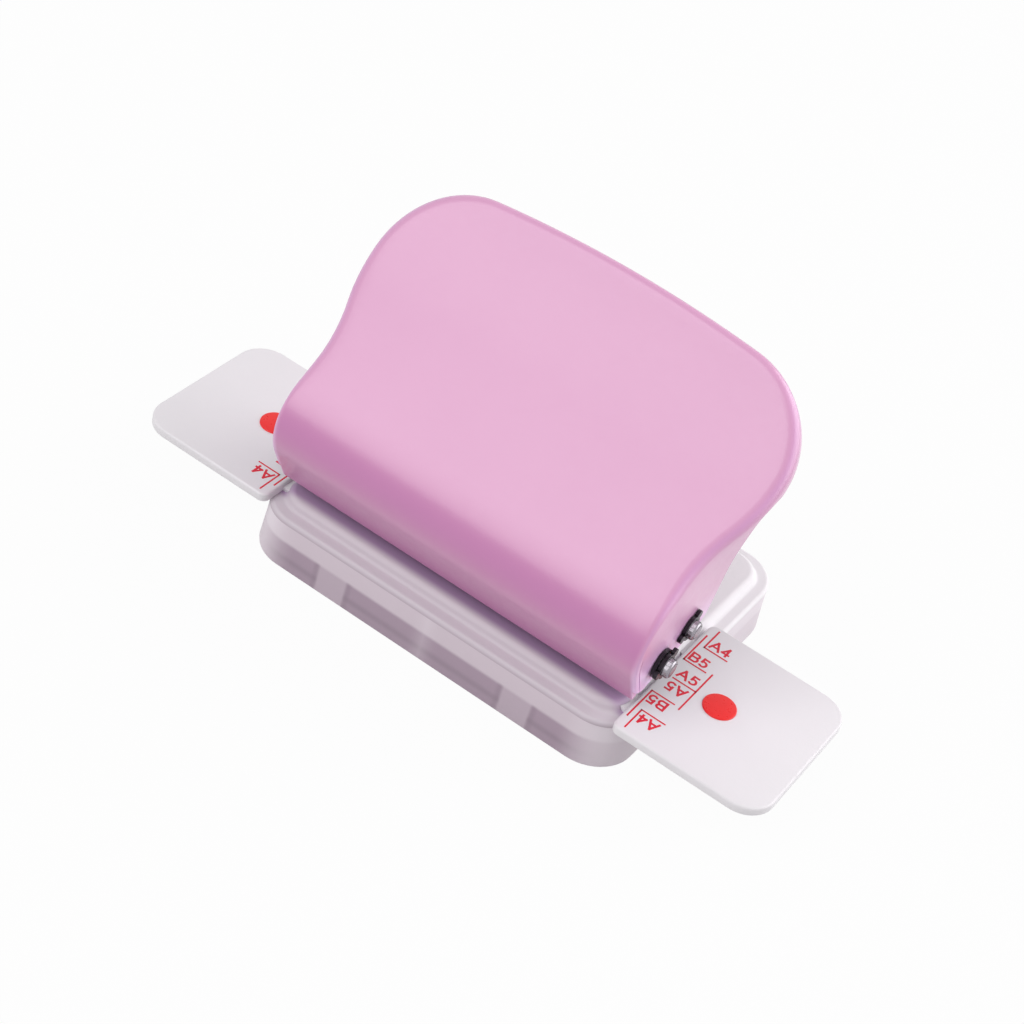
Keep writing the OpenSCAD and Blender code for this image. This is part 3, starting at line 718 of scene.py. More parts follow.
class LeverForm:
    """Where the lever's sheet runs: its side profile, its outline seen square to the plate, and its lower edge."""

    def __init__(self, s):
        quarter = math.pi / 2
        self.s = s
        self.lip = Vector((PUNCH_Y - s.lip_front, DECK_Z + s.lip_rise))
        self.nose = self.lip + s.lip_length * polar(s.lip_angle) + s.nose_radius * polar(s.lip_angle - quarter)
        self.plate = self.nose + s.nose_radius * polar(s.plate_angle + quarter)
        bend = self.plate + s.plate_length * polar(s.plate_angle)
        self.scoop = bend + s.scoop_radius * polar(s.plate_angle + quarter)
        self.lip_u, self.nose_u, self.bend_u, self.scoop_u = (
            self.along(p) for p in (self.lip, self.nose, bend, self.scoop))
        self.nose_start_u = self.along(self.lip + s.lip_length * polar(s.lip_angle))
        self.tip_u = self.along(self.scoop + s.scoop_radius * polar(s.tip_angle - quarter))
        self.crown_u = self.tip_u - s.crown_radius
        self.turn_x = s.paddle_half - s.paddle_corner
        self.turn_u = self.crown_u + math.sqrt((s.crown_radius - s.paddle_corner) ** 2 - self.turn_x ** 2)
        self.turn_a = math.atan2(self.turn_u - self.crown_u, self.turn_x)
        flare_x, flare_u = (s.paddle_half - s.cheek_half) / 2, (self.turn_u - s.flare_from) / 2
        self.flare_r = (flare_x ** 2 + flare_u ** 2) / (2 * flare_x)
        self.flare_mid = (s.flare_from + self.turn_u) / 2
        self.lower = self.lower_edge()

    def along(self, point):
        return (point - self.plate).dot(polar(SQUARE_VIEW))

    def lift(self, x, u):
        """The point of the sheet's outer face at a place of the outline."""
        s = self.s
        if u <= self.nose_start_u:
            p = self.lip + (u - self.lip_u) / math.cos(s.lip_angle - SQUARE_VIEW) * polar(s.lip_angle)
        elif u <= 0:
            p = self.nose + s.nose_radius * polar(SQUARE_VIEW + math.acos((u - self.nose_u) / s.nose_radius))
        elif u <= self.bend_u:
            p = self.plate + u / math.cos(s.plate_angle - SQUARE_VIEW) * polar(s.plate_angle)
        else:
            p = self.scoop + s.scoop_radius * polar(
                SQUARE_VIEW - math.acos((u - self.scoop_u) / s.scoop_radius))
        return Vector((x, p.x, p.y))

    def side(self, u):
        """The outline's right side at u: its place and its outward direction."""
        s, r = self.s, self.flare_r
        if u <= s.flare_from:
            return s.cheek_half, u, 1.0, 0.0
        if u <= self.flare_mid:
            x = s.cheek_half + r - math.sqrt(r * r - (u - s.flare_from) ** 2)
            return x, u, (s.cheek_half + r - x) / r, (s.flare_from - u) / r
        x = s.paddle_half - r + math.sqrt(r * r - (u - self.turn_u) ** 2)
        return x, u, (x - s.paddle_half + r) / r, (u - self.turn_u) / r

    def corner(self, turn):
        c, n, r = math.cos(turn), math.sin(turn), self.s.paddle_corner
        return self.turn_x + r * c, self.turn_u + r * n, c, n

    def crown(self, turn):
        c, n, r = math.cos(turn), math.sin(turn), self.s.crown_radius
        return r * c, self.crown_u + r * n, c, n

    def edge_radius(self, u):
        """The bend at the plate's edge is sharp on the skirt and wide beside the paddle."""
        share = min(1, max(0, (u + WIDEN_FROM) / WIDEN_OVER))
        share = share * share * (3 - 2 * share)
        return self.s.skirt_edge + (self.s.edge_radius - self.s.skirt_edge) * share

    def lower_edge(self):
        """The lower edge of cheek and rim, as points from the front of the cheek to the paddle's end."""
        cheek = [Vector((PUNCH_Y + y * MM, DECK_Z + z * MM)) for y, z in CHEEK_EDGE]
        stop = self.s.tip_angle
        rim = [self.scoop + (self.s.scoop_radius + self.s.rim_depth) * polar(
            RIM_START + (stop - RIM_START) * i / 12 - math.pi / 2) for i in range(13)]
        return cheek + rim + [rim[-1] + RIM_PAST * polar(stop)]

    def below(self, point):
        """The lower edge met from a point of the sheet's edge, square to the view slope."""
        way = polar(-SQUARE_VIEW)
        best = None
        for a, b in zip(self.lower, self.lower[1:]):
            side = b - a
            across = way.x * side.y - way.y * side.x
            if abs(across) < 1e-12:
                continue
            to = a - point
            reach = (to.x * side.y - to.y * side.x) / across
            share = (to.x * way.y - to.y * way.x) / across
            if -1e-9 <= share <= 1 + 1e-9 and reach > 0 and (best is None or reach < best):
                best = reach
        if best is None:
            raise RuntimeError("the lever's edge meets no lower edge")
        return point + best * way

    def rows(self):
        """The right side's places from the skirt's lip to the middle of the paddle's corner."""
        s = self.s
        skirt = [self.lip_u + d * MM * math.cos(s.lip_angle - SQUARE_VIEW) for d in SKIRT_ROWS]
        bend = [s.lip_angle + math.pi / 2 + (s.plate_angle - s.lip_angle) * i / 18 for i in range(19)]
        nose = [self.nose_u + s.nose_radius * math.cos(a - SQUARE_VIEW) for a in bend]
        plate = [self.bend_u * i / 10 for i in range(1, 11)]
        scoop = [self.bend_u + (self.turn_u - self.bend_u) * i / 8 for i in range(1, 9)]
        corner = [self.corner(CORNER_MIDDLE * i / 10) for i in range(1, 11)]
        return [self.side(u) for u in skirt + nose + plate + scoop] + corner

    def columns(self):
        """The paddle's end from the left corner's middle to the right corner's middle."""
        quarter = math.pi / 2
        half = [self.crown(quarter + (self.turn_a - quarter) * i / 12) for i in range(1, 13)]
        half += [self.corner(self.turn_a + (CORNER_MIDDLE - self.turn_a) * i / 9) for i in range(1, 10)]
        left = [(-x, u, -nx, nu) for x, u, nx, nu in reversed(half)]
        return left + [(0, self.tip_u, 0, 1)] + half


def lever_sheet(form):
    """The lever's outer face: a grid over plate, nose and skirt, with its edge turned down round three sides."""
    rows, columns = form.rows(), form.columns()
    ny, nx = len(rows) - 1, len(columns) - 1
    piece = new_piece("lever", bpy.ops.mesh.primitive_grid_add, x_subdivisions=nx, y_subdivisions=ny, size=2)
    mesh = piece.data
    if len(mesh.vertices) != (nx + 1) * (ny + 1):
        raise RuntimeError("the lever's grid has an unexpected number of points")

    def inset(place):
        x, u, out_x, out_u = place
        r = form.edge_radius(u)
        return x - r * out_x, u - r * out_u

    side = [inset(p) for p in rows]
    top = [inset(p) for p in columns]
    end_x, end_u = side[-1]
    first = next(k for k, place in enumerate(rows) if place[1] > form.s.flare_from - BOW_LEAD)
    edge = {}
    for v in mesh.vertices:
        j, i = round((v.co.x + 1) / 2 * nx), round((v.co.y + 1) / 2 * ny)
        across = 2 * j / nx - 1
        weight = max(0, (i - first) / (ny - first)) ** 2
        x = across * side[i][0] + weight * (top[j][0] - across * end_x)
        u = side[i][1] + weight * (top[j][1] - end_u)
        v.co = form.lift(x, u)
        if i == ny:
            edge[v.index] = columns[j]
        elif j in (0, nx) and i >= CHEEK_ROW:
            place, sign = rows[i], 1 if j else -1
            edge[v.index] = (sign * place[0], place[1], sign * place[2], place[3])
    turn_down(piece, form, edge)
    return piece


def running_lengths(points):
    """The length of a line of points, from its start to each of them."""
    return list(accumulate(((b - a).length for a, b in zip(points, points[1:])), initial=0.0))


def turn_down(piece, form, edge):
    """Extrudes the marked edge round the bend and down to the lower edge, ring by ring."""
    s = form.s
    low_rows = sorted({place[1] for place in edge.values() if place[1] <= s.flare_from})
    join_at = form.lift(0, low_rows[-1])
    join_low = form.below(Vector((join_at.y, join_at.z)))
    path = form.lower[:1] + [p for p in form.lower[1:] if p.x < join_low.x and p.y < join_low.y] + [join_low]
    lengths = running_lengths(path)
    top_lengths = running_lengths([form.lift(0, u) for u in low_rows])

    def partner(u, point):
        """Where the cheek or rim ends below a place of the edge."""
        if u > s.flare_from:
            return form.below(point)
        share = top_lengths[low_rows.index(u)] / top_lengths[-1] * lengths[-1]
        for k in range(1, len(path)):
            if share <= lengths[k] + 1e-12:
                part = (share - lengths[k - 1]) / (lengths[k] - lengths[k - 1])
                return path[k - 1].lerp(path[k], part)
        return path[-1]

    def ring_point(place, bend, fall):
        x, u, out_x, out_u = place
        r = form.edge_radius(u)
        rim = form.lift(x, u)
        goal = partner(u, Vector((rim.y, rim.z)))
        drop = Vector((0, goal.x, goal.y)) - Vector((0, rim.y, rim.z))
        depth, way = drop.length, drop.normalized()
        if fall is None:
            back = r * (1 - math.sin(bend))
            return form.lift(x - back * out_x, u - back * out_u) + way * r * (1 - math.cos(bend))
        return rim + way * (r + (depth - r) * fall)

    rings = [(math.radians(15) * k, None) for k in range(1, 7)] + [(0, k / 4) for k in range(1, 5)]
    mesh = piece.data
    for bend, fall in rings:
        old = len(mesh.vertices)
        clear_selection()
        unselect(mesh)
        for e in mesh.edges:
            e.select = all(i in edge for i in e.vertices) and on_border(e.vertices, edge)
        edit(piece, "EDGE")
        bpy.ops.mesh.extrude_edges_move(TRANSFORM_OT_translate={"value": (0, 0, 0)})
        leave_edit()
        moved = {}
        for e in mesh.edges:
            a, b = sorted(e.vertices)
            if a in edge and a < old <= b:
                moved[b] = edge[a]
        for index, place in moved.items():
            mesh.vertices[index].co = ring_point(place, bend, fall)
        edge = moved


def on_border(pair, edge):
    """True for two neighbours along the marked edge, and not for a line across the sheet."""
    a, b = (edge[i] for i in pair)
    return math.hypot(a[0] - b[0], a[1] - b[1]) < NEIGHBOURS


def seam_cutter(form, sign):
    """A thin bent slab that opens the seam between the skirt's end and the cheek."""
    s = form.s
    inner = s.nose_radius - s.sheet
    quarter = math.pi / 2
    line = [form.lip + d * MM * polar(s.lip_angle) + s.sheet * polar(s.lip_angle - quarter) for d in SEAM_ROWS]
    line += [form.nose + inner * polar(s.lip_angle + quarter - turn) for turn in SEAM_TURNS]
    normals = [(b - a).orthogonal().normalized() for a, b in zip(line, line[1:] + [2 * line[-1] - line[-2]])]
    loop = [p + n * s.seam / 2 for p, n in zip(line, normals)]
    loop += [p - n * s.seam / 2 for p, n in zip(reversed(line), reversed(normals))]
    count = len(loop)
    points = [(sign * x, p.x, p.y) for x in (s.cheek_half - SEAM_INSIDE, s.cheek_half + SEAM_OUTSIDE) for p in loop]
    faces = [(base + k, base + k + 1, base + count - 2 - k, base + count - 1 - k)
             for k in range(count // 2 - 1) for base in (0, count)]
    faces += [(k, (k + 1) % count, count + (k + 1) % count, count + k) for k in range(count)]
    mesh = bpy.data.meshes.new("seam")
    mesh.from_pydata(points, [], faces)
    cutter = bpy.data.objects.new("seam", mesh)
    bpy.context.scene.collection.objects.link(cutter)
    face_outwards(cutter)
    return cutter


class PUNCH_OT_lever(bpy.types.Operator):
    """Models the bent sheet lever with its cheeks, turned rim, pin holes and open seams"""

    bl_idname = "punch.lever"
    bl_label = "Lever"

    def execute(self, context):
        s = context.scene.punch_lever
        form = LeverForm(s)
        piece = lever_sheet(form)
        modify(piece, "SOLIDIFY", thickness=s.sheet, offset=-1, use_even_offset=False)
        pivot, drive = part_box("pivot_pin"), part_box("drive_pin")
        pivot, drive = (pivot[0] + pivot[1]) / 2, (drive[0] + drive[1]) / 2
        hole = (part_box("drive_pin")[1].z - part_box("drive_pin")[0].z) / 2 + s.pin_play
        arm = drive - pivot
        near = pivot + arm.normalized() * arm.y
        slot = rod("slot", near, hole, ACROSS)
        for v in slot.data.vertices:
            if (v.co - near).dot(arm) > 1e-9:
                v.co += drive - near
        cut(piece, [rod("hole", pivot, hole, ACROSS), slot, seam_cutter(form, 1), seam_cutter(form, -1)], True)
        dress(piece, "lever", finish("paint"), ["handle"], 40)
        return {"FINISHED"}


# The deck and the chip tray

# How far a cutter reaches above the deck, and past its ends
ABOVE_DECK, PAST_DECK = Vector((0, 0, 1 * MM)), 40 * MM
BOSS_SIDES = 40


def prong_boxes(s, side, inner, outer, play):
    """Boxes of a guide's two prongs between two distances from the middle, with some play round them."""
    ends = sorted((side * (inner - play), side * outer))
    half, top = s.prong_width / 2 + play, LEDGE_Z + s.prong_thick + play
    return [box_between("prong", (ends[0], y - half, LEDGE_Z), (ends[1], y + half, top))
            for y in (PUNCH_Y - s.prong_middle, PUNCH_Y + s.prong_middle)]


class PUNCH_OT_tray(bpy.types.Operator):
    """Models the frosted chip tray with its drafted wall and inner ribs"""

    bl_idname = "punch.tray"
    bl_label = "Chip tray"

    def execute(self, context):
        s = context.scene.punch_base
        low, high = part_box("chip_tray")
        foot = (high.x, high.y, s.tray_corner)
        piece = round_plate("tray", *foot, 0)
        extrude(high.z)
        bpy.ops.transform.resize(value=((high.x - s.draft) / high.x, (high.y - s.draft) / high.y, 1))
        bpy.ops.mesh.inset(thickness=s.wall)
        extrude(s.floor - high.z)
        round_edges(piece, lambda p: abs(p.z) < NEAR and near_outline(p, *foot), s.foot_round, 3)
        front = low.y + s.draft / 2 + s.wall / 2
        ribs = [box_between("rib", (side * s.rib_middle - s.rib_width / 2, front, s.floor / 2),
                            (side * s.rib_middle + s.rib_width / 2, low.y + s.wall + s.rib_depth, s.rib_top))
                for side in (-1, 1)]
        face_outwards(join(piece, ribs))
        dress(piece, "tray", finish("frost"), ["chip_tray"])
        return {"FINISHED"}


class PUNCH_OT_deck(bpy.types.Operator):
    """Models the white deck with its soft steps, plug skirt, die pocket and slots"""

    bl_idname = "punch.deck"
    bl_label = "Deck"

    def execute(self, context):
        s = context.scene.punch_base
        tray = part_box("chip_tray")[1]
        half_l, half_d, corner = (length - s.flange_inset for length in (tray.x, tray.y, s.tray_corner))
        top_l, top_d = tray.x - s.ledge_end, tray.y - s.ledge_front
        piece = round_plate("deck", half_l, half_d, corner, RIM_Z)
        extrude(LEDGE_Z - RIM_Z)
        step = ((half_l - top_l) + (half_d - top_d)) / 2
        bpy.ops.mesh.inset(thickness=step)
        bpy.ops.transform.resize(value=(top_l / (half_l - step), top_d / (half_d - step), 1))
        extrude(DECK_Z - LEDGE_Z)
        bpy.ops.transform.resize(value=(1 - s.deck_slope / top_l, 1 - s.deck_slope / top_d, 1))
        pick(piece, "FACE", lambda p: abs(p.z - RIM_Z) < NEAR)
        bpy.ops.mesh.inset(thickness=s.wall + s.skirt_gap - s.flange_inset)
        extrude(-s.plug_depth)
        bpy.ops.mesh.inset(thickness=s.skirt_wall)
        extrude(s.plug_depth)
        round_edges(piece, lambda p: abs(p.z - DECK_Z) < NEAR, s.deck_round, 5)
        for outline, radius in (((top_l, top_d, corner - step), s.step_round),
                                ((half_l, half_d, corner), s.flange_round)):
            round_edges(piece, lambda p: abs(p.z - LEDGE_Z) < NEAR and near_outline(p, *outline), radius, 4)
        face_outwards(piece)
        cut(piece, self.cutters(s, context.scene.punch_guide))
        low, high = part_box("frame_screws")
        boss_y, boss_z = (low.y + high.y) / 2, RIM_Z + s.boss_sink - s.plug_depth / 2
        join(piece, [rod("boss", (side * (high.x - s.boss_inset), boss_y, boss_z), s.boss_radius, s.plug_depth, "Z",
                         BOSS_SIDES) for side in (-1, 1)])
        dress(piece, "base", finish("deck"), ["base_deck"])
        return {"FINISHED"}

    def cutters(self, s, guide):
        """The die pocket, the chip slot and the guides' prong slots."""
        low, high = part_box("die_plate")
        gap, way = (Vector((room, room, 0)) for room in (s.pocket_gap, s.chip_gap))
        made = [box_between("pocket", low - gap, high + gap + ABOVE_DECK)]
        first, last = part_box("punch_1")[0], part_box("punch_6")[1]
        made.append(box_between("chips", Vector((first.x, first.y, 0)) - way, Vector((last.x, last.y, DECK_Z)) + way))
        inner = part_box("paper_guide_right")[0].x
        for side in (-1, 1):
            made += prong_boxes(guide, side, inner, PAST_DECK, guide.prong_play)
        return made


# The paper guides

# Sides of a peg and of its hole, rings of its crown, and a length that reaches through a guide
PEG_SIDES, PEG_RINGS, THROUGH = 96, 4, 8 * MM


class PUNCH_OT_guides(bpy.types.Operator):
    """Models both paper guides with their prongs and peg holes"""

    bl_idname = "punch.guides"
    bl_label = "Paper guides"

    def execute(self, context):
        s = context.scene.punch_guide
        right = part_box("paper_guide_right")
        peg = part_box("guide_peg_right")
        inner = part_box("chip_tray")[1].x - context.scene.punch_base.ledge_end + s.gap
        middle = (inner + right[1].x) / 2
        half_l, half_w = (right[1].x - inner) / 2, (right[1].y - right[0].y) / 2
        for side, name in SIDES:
            piece = self.slab(s, half_l, half_w, right[1].z - right[0].z)
            for v in piece.data.vertices:
                v.co = Vector((side * (v.co.x + middle), v.co.y + PUNCH_Y, v.co.z + right[0].z))
            face_outwards(piece)
            rename(piece, "guide_" + name)
            radius = (peg[1].x - peg[0].x) / 2 + s.peg_play
            centre = ((peg[0].x + peg[1].x) / 2 * side, PUNCH_Y, DECK_Z)
            cut(piece, [rod("hole", centre, radius, THROUGH, "Z", PEG_SIDES)])
            join(piece, prong_boxes(s, side, right[0].x, inner + s.prong_reach, 0))
            dress(piece, "guide_" + name, finish("white"), ["paper_guide_" + name])
        return {"FINISHED"}

    def slab(self, s, half_l, half_w, thick):
        """One guide round the origin, with small corners at its inner end and large ones at its outer end."""
        piece = plate("guide", half_l, half_w)
        for end, radius in ((1, s.outer_corner), (-1, s.inner_corner)):
            pick(piece, "VERT", lambda p: p.x * end > half_l - NEAR)
            round_corners(radius)
        select_faces()
        extrude(thick)
        for z, radius in ((thick, s.edge), (0, s.foot)):
            round_edges(piece, lambda p: abs(p.z - z) < NEAR, radius, 4)
        return piece


# Places of the printed marks on the right guide, in millimetres from the middle of the row of punches:
# corner of the sheet, end of the line along Y, end of the line along X, label and its lower left corner
SHEET_MARKS = (
    ((34.5, 9.4), 14.2, 38.6, "A4", (34.82, 9.95)),
    ((33.5, 4.75), 11.95, 37.45, "B5", (33.78, 5.25)),
)
SMALL_MARK = ((34.4, 38.5), 5.1, "A5", (34.32, 0.72))


def bow(x, y, wide, high, start, stop):
    """A bowed stroke of a letter, between two angles in degrees."""
    turns = [math.radians(start + (stop - start) * k / 12) for k in range(13)]
    return [(x + wide * math.cos(a), y + high * math.sin(a)) for a in turns]


# The width of each letter as a share of its height, and its strokes in a box of 1 by 1
LETTERS = {
    "A": (0.88, ([(0, 0), (0.5, 1)], [(0.5, 1), (1, 0)], [(0.17, 0.3), (0.83, 0.3)])),
    "B": (0.76, ([(0, 0), (0, 1)], [(0, 1), (0.6, 1)], [(0, 0.54), (0.65, 0.54)], [(0, 0), (0.65, 0)],
                 bow(0.6, 0.77, 0.34, 0.23, 90, -90), bow(0.65, 0.27, 0.35, 0.27, 90, -90))),
    "4": (0.68, ([(0.72, 0), (0.72, 1)], [(0.72, 1), (0, 0.27)], [(0, 0.27), (1, 0.27)])),
    "5": (0.66, ([(0.2, 1), (0.92, 1)], [(0.2, 1), (0.12, 0.52)], bow(0.46, 0.32, 0.54, 0.32, 140, -150))),
}


class PUNCH_OT_marks(bpy.types.Operator):
    """Prints the sheet-size corners and their labels on both guides"""

    bl_idname = "punch.marks"
    bl_label = "Printed marks"

    def execute(self, context):
        s = context.scene.punch_guide
        for side, name in SIDES:
            parts = []
            for way in (1, -1):
                for (x, y), end_y, end_x, label, place in SHEET_MARKS:
                    parts.append(self.line(s, side, (x, y * way), (x, end_y * way)))
                    parts.append(self.line(s, side, (x, y * way), (end_x, y * way)))
                    parts.append(self.label(s, label, side, way, place))
                parts.append(self.label(s, SMALL_MARK[2], side, way, SMALL_MARK[3]))
            (x0, x1), reach = SMALL_MARK[:2]
            parts.append(self.line(s, side, (x0, 0), (x1, 0)))
            parts.append(self.line(s, side, (x1, -reach), (x1, reach)))
            piece = join(parts[0], parts[1:])
            rename(piece, "marks_" + name)
            face_outwards(piece)
            dress(piece, "guide_" + name, finish("ink"))
        return {"FINISHED"}

    def line(self, s, side, start, end):
        """One printed line between two places."""
        half = s.line / 2
        xs = sorted((side * start[0] * MM, side * end[0] * MM))
        ys = sorted((start[1] * MM, end[1] * MM))
        return box_between("line", (xs[0] - half, PUNCH_Y + ys[0] - half, DECK_Z - s.ink),
                           (xs[1] + half, PUNCH_Y + ys[1] + half, DECK_Z + s.ink))

    def label(self, s, words, side, way, place):
        """One label, upright behind the punch line and turned round in front of it."""
        half = s.stroke / 2
        wide = [LETTERS[letter][0] * s.letter for letter in words]
        whole = sum(wide) + s.spacing * (len(words) - 1)
        left = place[0] * MM if side > 0 else -place[0] * MM - whole
        middle = left + whole / 2
        lines = []
        for letter, span in zip(words, wide):
            for stroke in LETTERS[letter][1]:
                points = [Vector((left + half + x * (span - s.stroke) - middle,
                                  place[1] * MM + half + y * (s.letter - s.stroke), 0)) for x, y in stroke]
                if len(points) == 2:
                    reach = (points[1] - points[0]).normalized() * half
                    points = [points[0] - reach, points[1] + reach]
                lines.append([Vector((middle + way * p.x, PUNCH_Y + way * p.y, 0)) for p in points])
            left += span + s.spacing
        made = tube("label", lines, half)
        for v in made.data.vertices:
            v.co.z = DECK_Z + v.co.z / half * s.ink
        return made


# The pegs

class PUNCH_OT_pegs(bpy.types.Operator):
    """Turns the two red pegs, with a soft edge and a low crown"""

    bl_idname = "punch.pegs"
    bl_label = "Pegs"

    def execute(self, context):
        s = context.scene.punch_peg
        top = DECK_Z + s.rise
        for _, name in SIDES:
            low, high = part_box("guide_peg_" + name)
            middle, radius = (low + high) / 2, (high.x - low.x) / 2
            piece = rod("peg_" + name, (middle.x, middle.y, (low.z + top) / 2), radius, top - low.z, "Z", PEG_SIDES)
            round_edges(piece, lambda p: p.z > top - NEAR, s.rounding, 5)
            pick(piece, "FACE", lambda p: p.z > top - NEAR)
            for ring in range(1, PEG_RINGS):
                climb = ((PEG_RINGS + 1 - ring) ** 2 - (PEG_RINGS - ring) ** 2) / PEG_RINGS ** 2
                bpy.ops.mesh.inset(thickness=(radius - s.rounding) / PEG_RINGS, depth=s.crown * climb)
            leave_edit()
            dress(piece, "guide_" + name, finish("peg"), ["guide_peg_" + name])
        return {"FINISHED"}


# The return springs

class PUNCH_OT_springs(bpy.types.Operator):
    """Winds both return springs round the pivot pin, with their legs"""

    bl_idname = "punch.springs"
    bl_label = "Return springs"

    def execute(self, context):
        s = context.scene.punch_spring
        low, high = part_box("return_spring_right")
        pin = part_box("pivot_pin")
        axis_y, axis_z = (pin[0].y + pin[1].y) / 2, (pin[0].z + pin[1].z) / 2
        half = s.wire / 2
        outer, inner = high.x - half, low.x + half
        foot = Vector((outer, high.y - half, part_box("punch_frame")[0].z + s.seat + half + s.foot_gap))
        tip = Vector((inner, axis_y - s.coil, high.z - s.tip_drop))
        for side, name in SIDES:
            line = [foot]
            count = int(s.turns * s.steps)
            for k in range(count + 1):
                turn = -math.pi / 2 - 2 * math.pi * s.turns * k / count
                line.append(Vector((outer + (inner - outer) * k / count, axis_y + s.coil * math.cos(turn),
                                    axis_z + s.coil * math.sin(turn))))
            line.append(tip)
            piece = tube("return_spring_" + name + "_wire", [[Vector((side * p.x, p.y, p.z)) for p in line]], half)
            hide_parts("return_spring_" + name)
            dress(piece, None, finish("bright"), (), 60)
            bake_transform(piece)
        return {"FINISHED"}


# The pins

class PUNCH_OT_pins(bpy.types.Operator):
    """Turns the hinge pin and the pin that carries the punches, with rounded ends"""

    bl_idname = "punch.pins"
    bl_label = "Pins"

    def execute(self, context):
        s = context.scene.punch_pin
        for name, node, body in (("hinge_pin", "pivot_pin", "base"), ("cross_pin", "drive_pin", "punch_set")):
            low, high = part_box(node)
            piece = rod(name, (low + high) / 2, (high.z - low.z) / 2, high.x - low.x, "X", s.sides)
            round_edges(piece, lambda p: abs(p.x) > high.x - NEAR, s.rounding, 4)
            dress(piece, body, finish("bright"), [node])
        return {"FINISHED"}


# The pieces that keep their solid

KEPT = {
    "steel": ("die_plate", "paper_stop", "punch_frame", "punch_1", "punch_2", "punch_3", "punch_4", "punch_5",
              "punch_6"),
    "bright": ("frame_screws",),
    "dark": ("pivot_washers", "pivot_clips", "drive_clips"),
}


class PUNCH_OT_metalwork(bpy.types.Operator):
    """Finishes the punches, plates, clips, washers and screws"""

    bl_idname = "punch.metalwork"
    bl_label = "Metalwork"

    def execute(self, context):
        for name, nodes in KEPT.items():
            for node in nodes:
                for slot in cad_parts[node].material_slots:
                    slot.material = finish(name)
        return {"FINISHED"}


# The stage

WHITE = (1, 1, 1, 1)
# The floor's grey under other light, and the share of pure white where it is seen
FLOOR_TONE, FLOOR_GLOW = (0.62, 0.62, 0.62, 1), 0.96
# The place of each lamp, and its width and height
LAMPS = {
    "key": ((-0.31, -0.66, 0.68), (0.7, 1.2)),
    "side": ((0.72, 0.62, 0.3), (1.5, 1.1)),
    "back": ((0.5, 0.6, 0.65), (0.6, 0.6)),
}


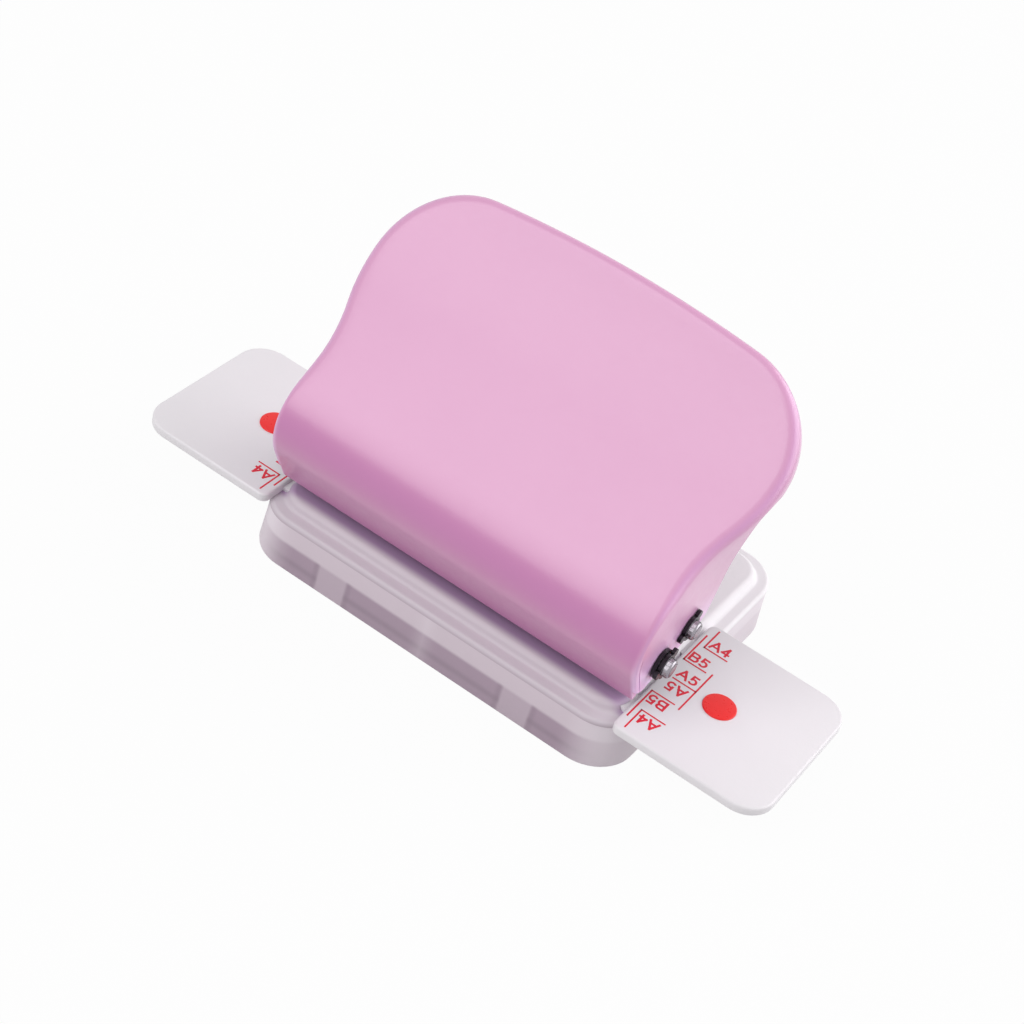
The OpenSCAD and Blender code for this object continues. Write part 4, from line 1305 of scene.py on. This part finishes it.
class PUNCH_OT_stage(bpy.types.Operator):
    """Sets the floor, the light and the camera"""

    bl_idname = "punch.stage"
    bl_label = "Stage"

    def execute(self, context):
        s = context.scene.punch_stage
        context.scene.view_settings.view_transform = "Standard"
        floor = new_piece("floor", bpy.ops.mesh.primitive_plane_add, size=4)
        floor.data.materials.append(self.floor_finish())
        self.sky(context.scene, s.sky)
        for name, (place, sides) in LAMPS.items():
            self.lamp(name, place, sides, getattr(s, name))
        self.camera(context.scene)
        return {"FINISHED"}

    def seen(self, made):
        """1 where a ray comes from the camera or from a shiny or clear surface."""
        path = made.add("ShaderNodeLightPath").outputs
        rays = [path[name] for name in ("Is Camera Ray", "Is Glossy Ray", "Is Transmission Ray")]
        return reduce(lambda first, second: made.maths("MAXIMUM", first, second), rays)

    def floor_finish(self):
        """Grey for other light, and almost pure white where it is seen."""
        material = bpy.data.materials.new("White floor")
        material.use_nodes = True
        made = Nodes(material.node_tree)
        made.tree.nodes.remove(made.tree.nodes["Principled BSDF"])
        matt, glow = made.add("ShaderNodeBsdfDiffuse", {"Color": FLOOR_TONE}), made.add("ShaderNodeEmission")
        made.mix_shaders(made.product(self.seen(made), FLOOR_GLOW), matt, glow, "Material Output")
        return material

    def sky(self, scene, strength):
        """Even light for the object, and white wherever the sky itself is seen."""
        scene.world = bpy.data.worlds.new("Studio")
        scene.world.use_nodes = True
        made = Nodes(scene.world.node_tree)
        even = made.tree.nodes["Background"]
        made.put(even.inputs["Color"], WHITE)
        made.put(even.inputs["Strength"], strength)
        white = made.add("ShaderNodeBackground", {"Color": WHITE})
        made.mix_shaders(self.seen(made), even, white, "World Output")

    def lamp(self, name, place, sides, power):
        """A soft lamp, turned to the punch."""
        clear_selection()
        bpy.ops.object.light_add(type="AREA", location=place)
        lamp = bpy.context.object
        lamp.name = name
        lamp.data.shape = "RECTANGLE"
        lamp.data.size, lamp.data.size_y = sides
        lamp.data.energy = power
        lamp.rotation_euler = Vector(place).to_track_quat("Z", "Y").to_euler()

    def camera(self, scene):
        """The photograph's viewpoint, found from the printed marks."""
        bpy.ops.object.camera_add()
        camera = bpy.context.object
        right = Vector((0.80516393, 0.55047494, 0.22065447))
        down = Vector((0.50680217, -0.44543687, -0.73806338))
        ahead = Vector((-0.30799775, 0.70609018, -0.63763159))
        turn = Matrix((right, -down, -ahead)).transposed().to_4x4()
        camera.matrix_world = Matrix.Translation((0.10526, -0.238277 + PUNCH_Y, 0.226185 + DECK_Z)) @ turn
        camera.data.lens = 78.213
        camera.data.sensor_width = 36
        camera.data.clip_start = 0.01
        scene.camera = camera


class PUNCH_PT_sidebar(bpy.types.Panel):
    """The punch's operators and sizes"""

    bl_label = "Desk punch"
    bl_idname = "PUNCH_PT_sidebar"
    bl_space_type = "VIEW_3D"
    bl_region_type = "UI"
    bl_category = "Desk punch"

    def draw(self, context):
        for operator in OPERATORS:
            self.layout.operator(operator.bl_idname)
        for name, group in SETTINGS.items():
            box = self.layout.box()
            box.label(text=group.__doc__)
            for entry in group.__annotations__:
                box.prop(getattr(context.scene, name), entry)


OPERATORS = (PUNCH_OT_tray, PUNCH_OT_deck, PUNCH_OT_guides, PUNCH_OT_marks, PUNCH_OT_pegs, PUNCH_OT_springs,
             PUNCH_OT_pins, PUNCH_OT_metalwork, PUNCH_OT_lever, PUNCH_OT_stage)
CLASSES = (*SETTINGS.values(), *OPERATORS, PUNCH_PT_sidebar)


def register():
    for item in CLASSES:
        bpy.utils.register_class(item)
    for name, group in SETTINGS.items():
        setattr(bpy.types.Scene, name, PointerProperty(type=group))


def unregister():
    for name in SETTINGS:
        delattr(bpy.types.Scene, name)
    for item in reversed(CLASSES):
        bpy.utils.unregister_class(item)


def main():
    register()
    bpy.ops.punch.stage()
    bpy.ops.punch.tray()
    bpy.ops.punch.deck()
    bpy.ops.punch.guides()
    bpy.ops.punch.marks()
    bpy.ops.punch.pegs()
    bpy.ops.punch.springs()
    bpy.ops.punch.pins()
    bpy.ops.punch.metalwork()
    bpy.ops.punch.lever()


if __name__ == "__main__":
    main()
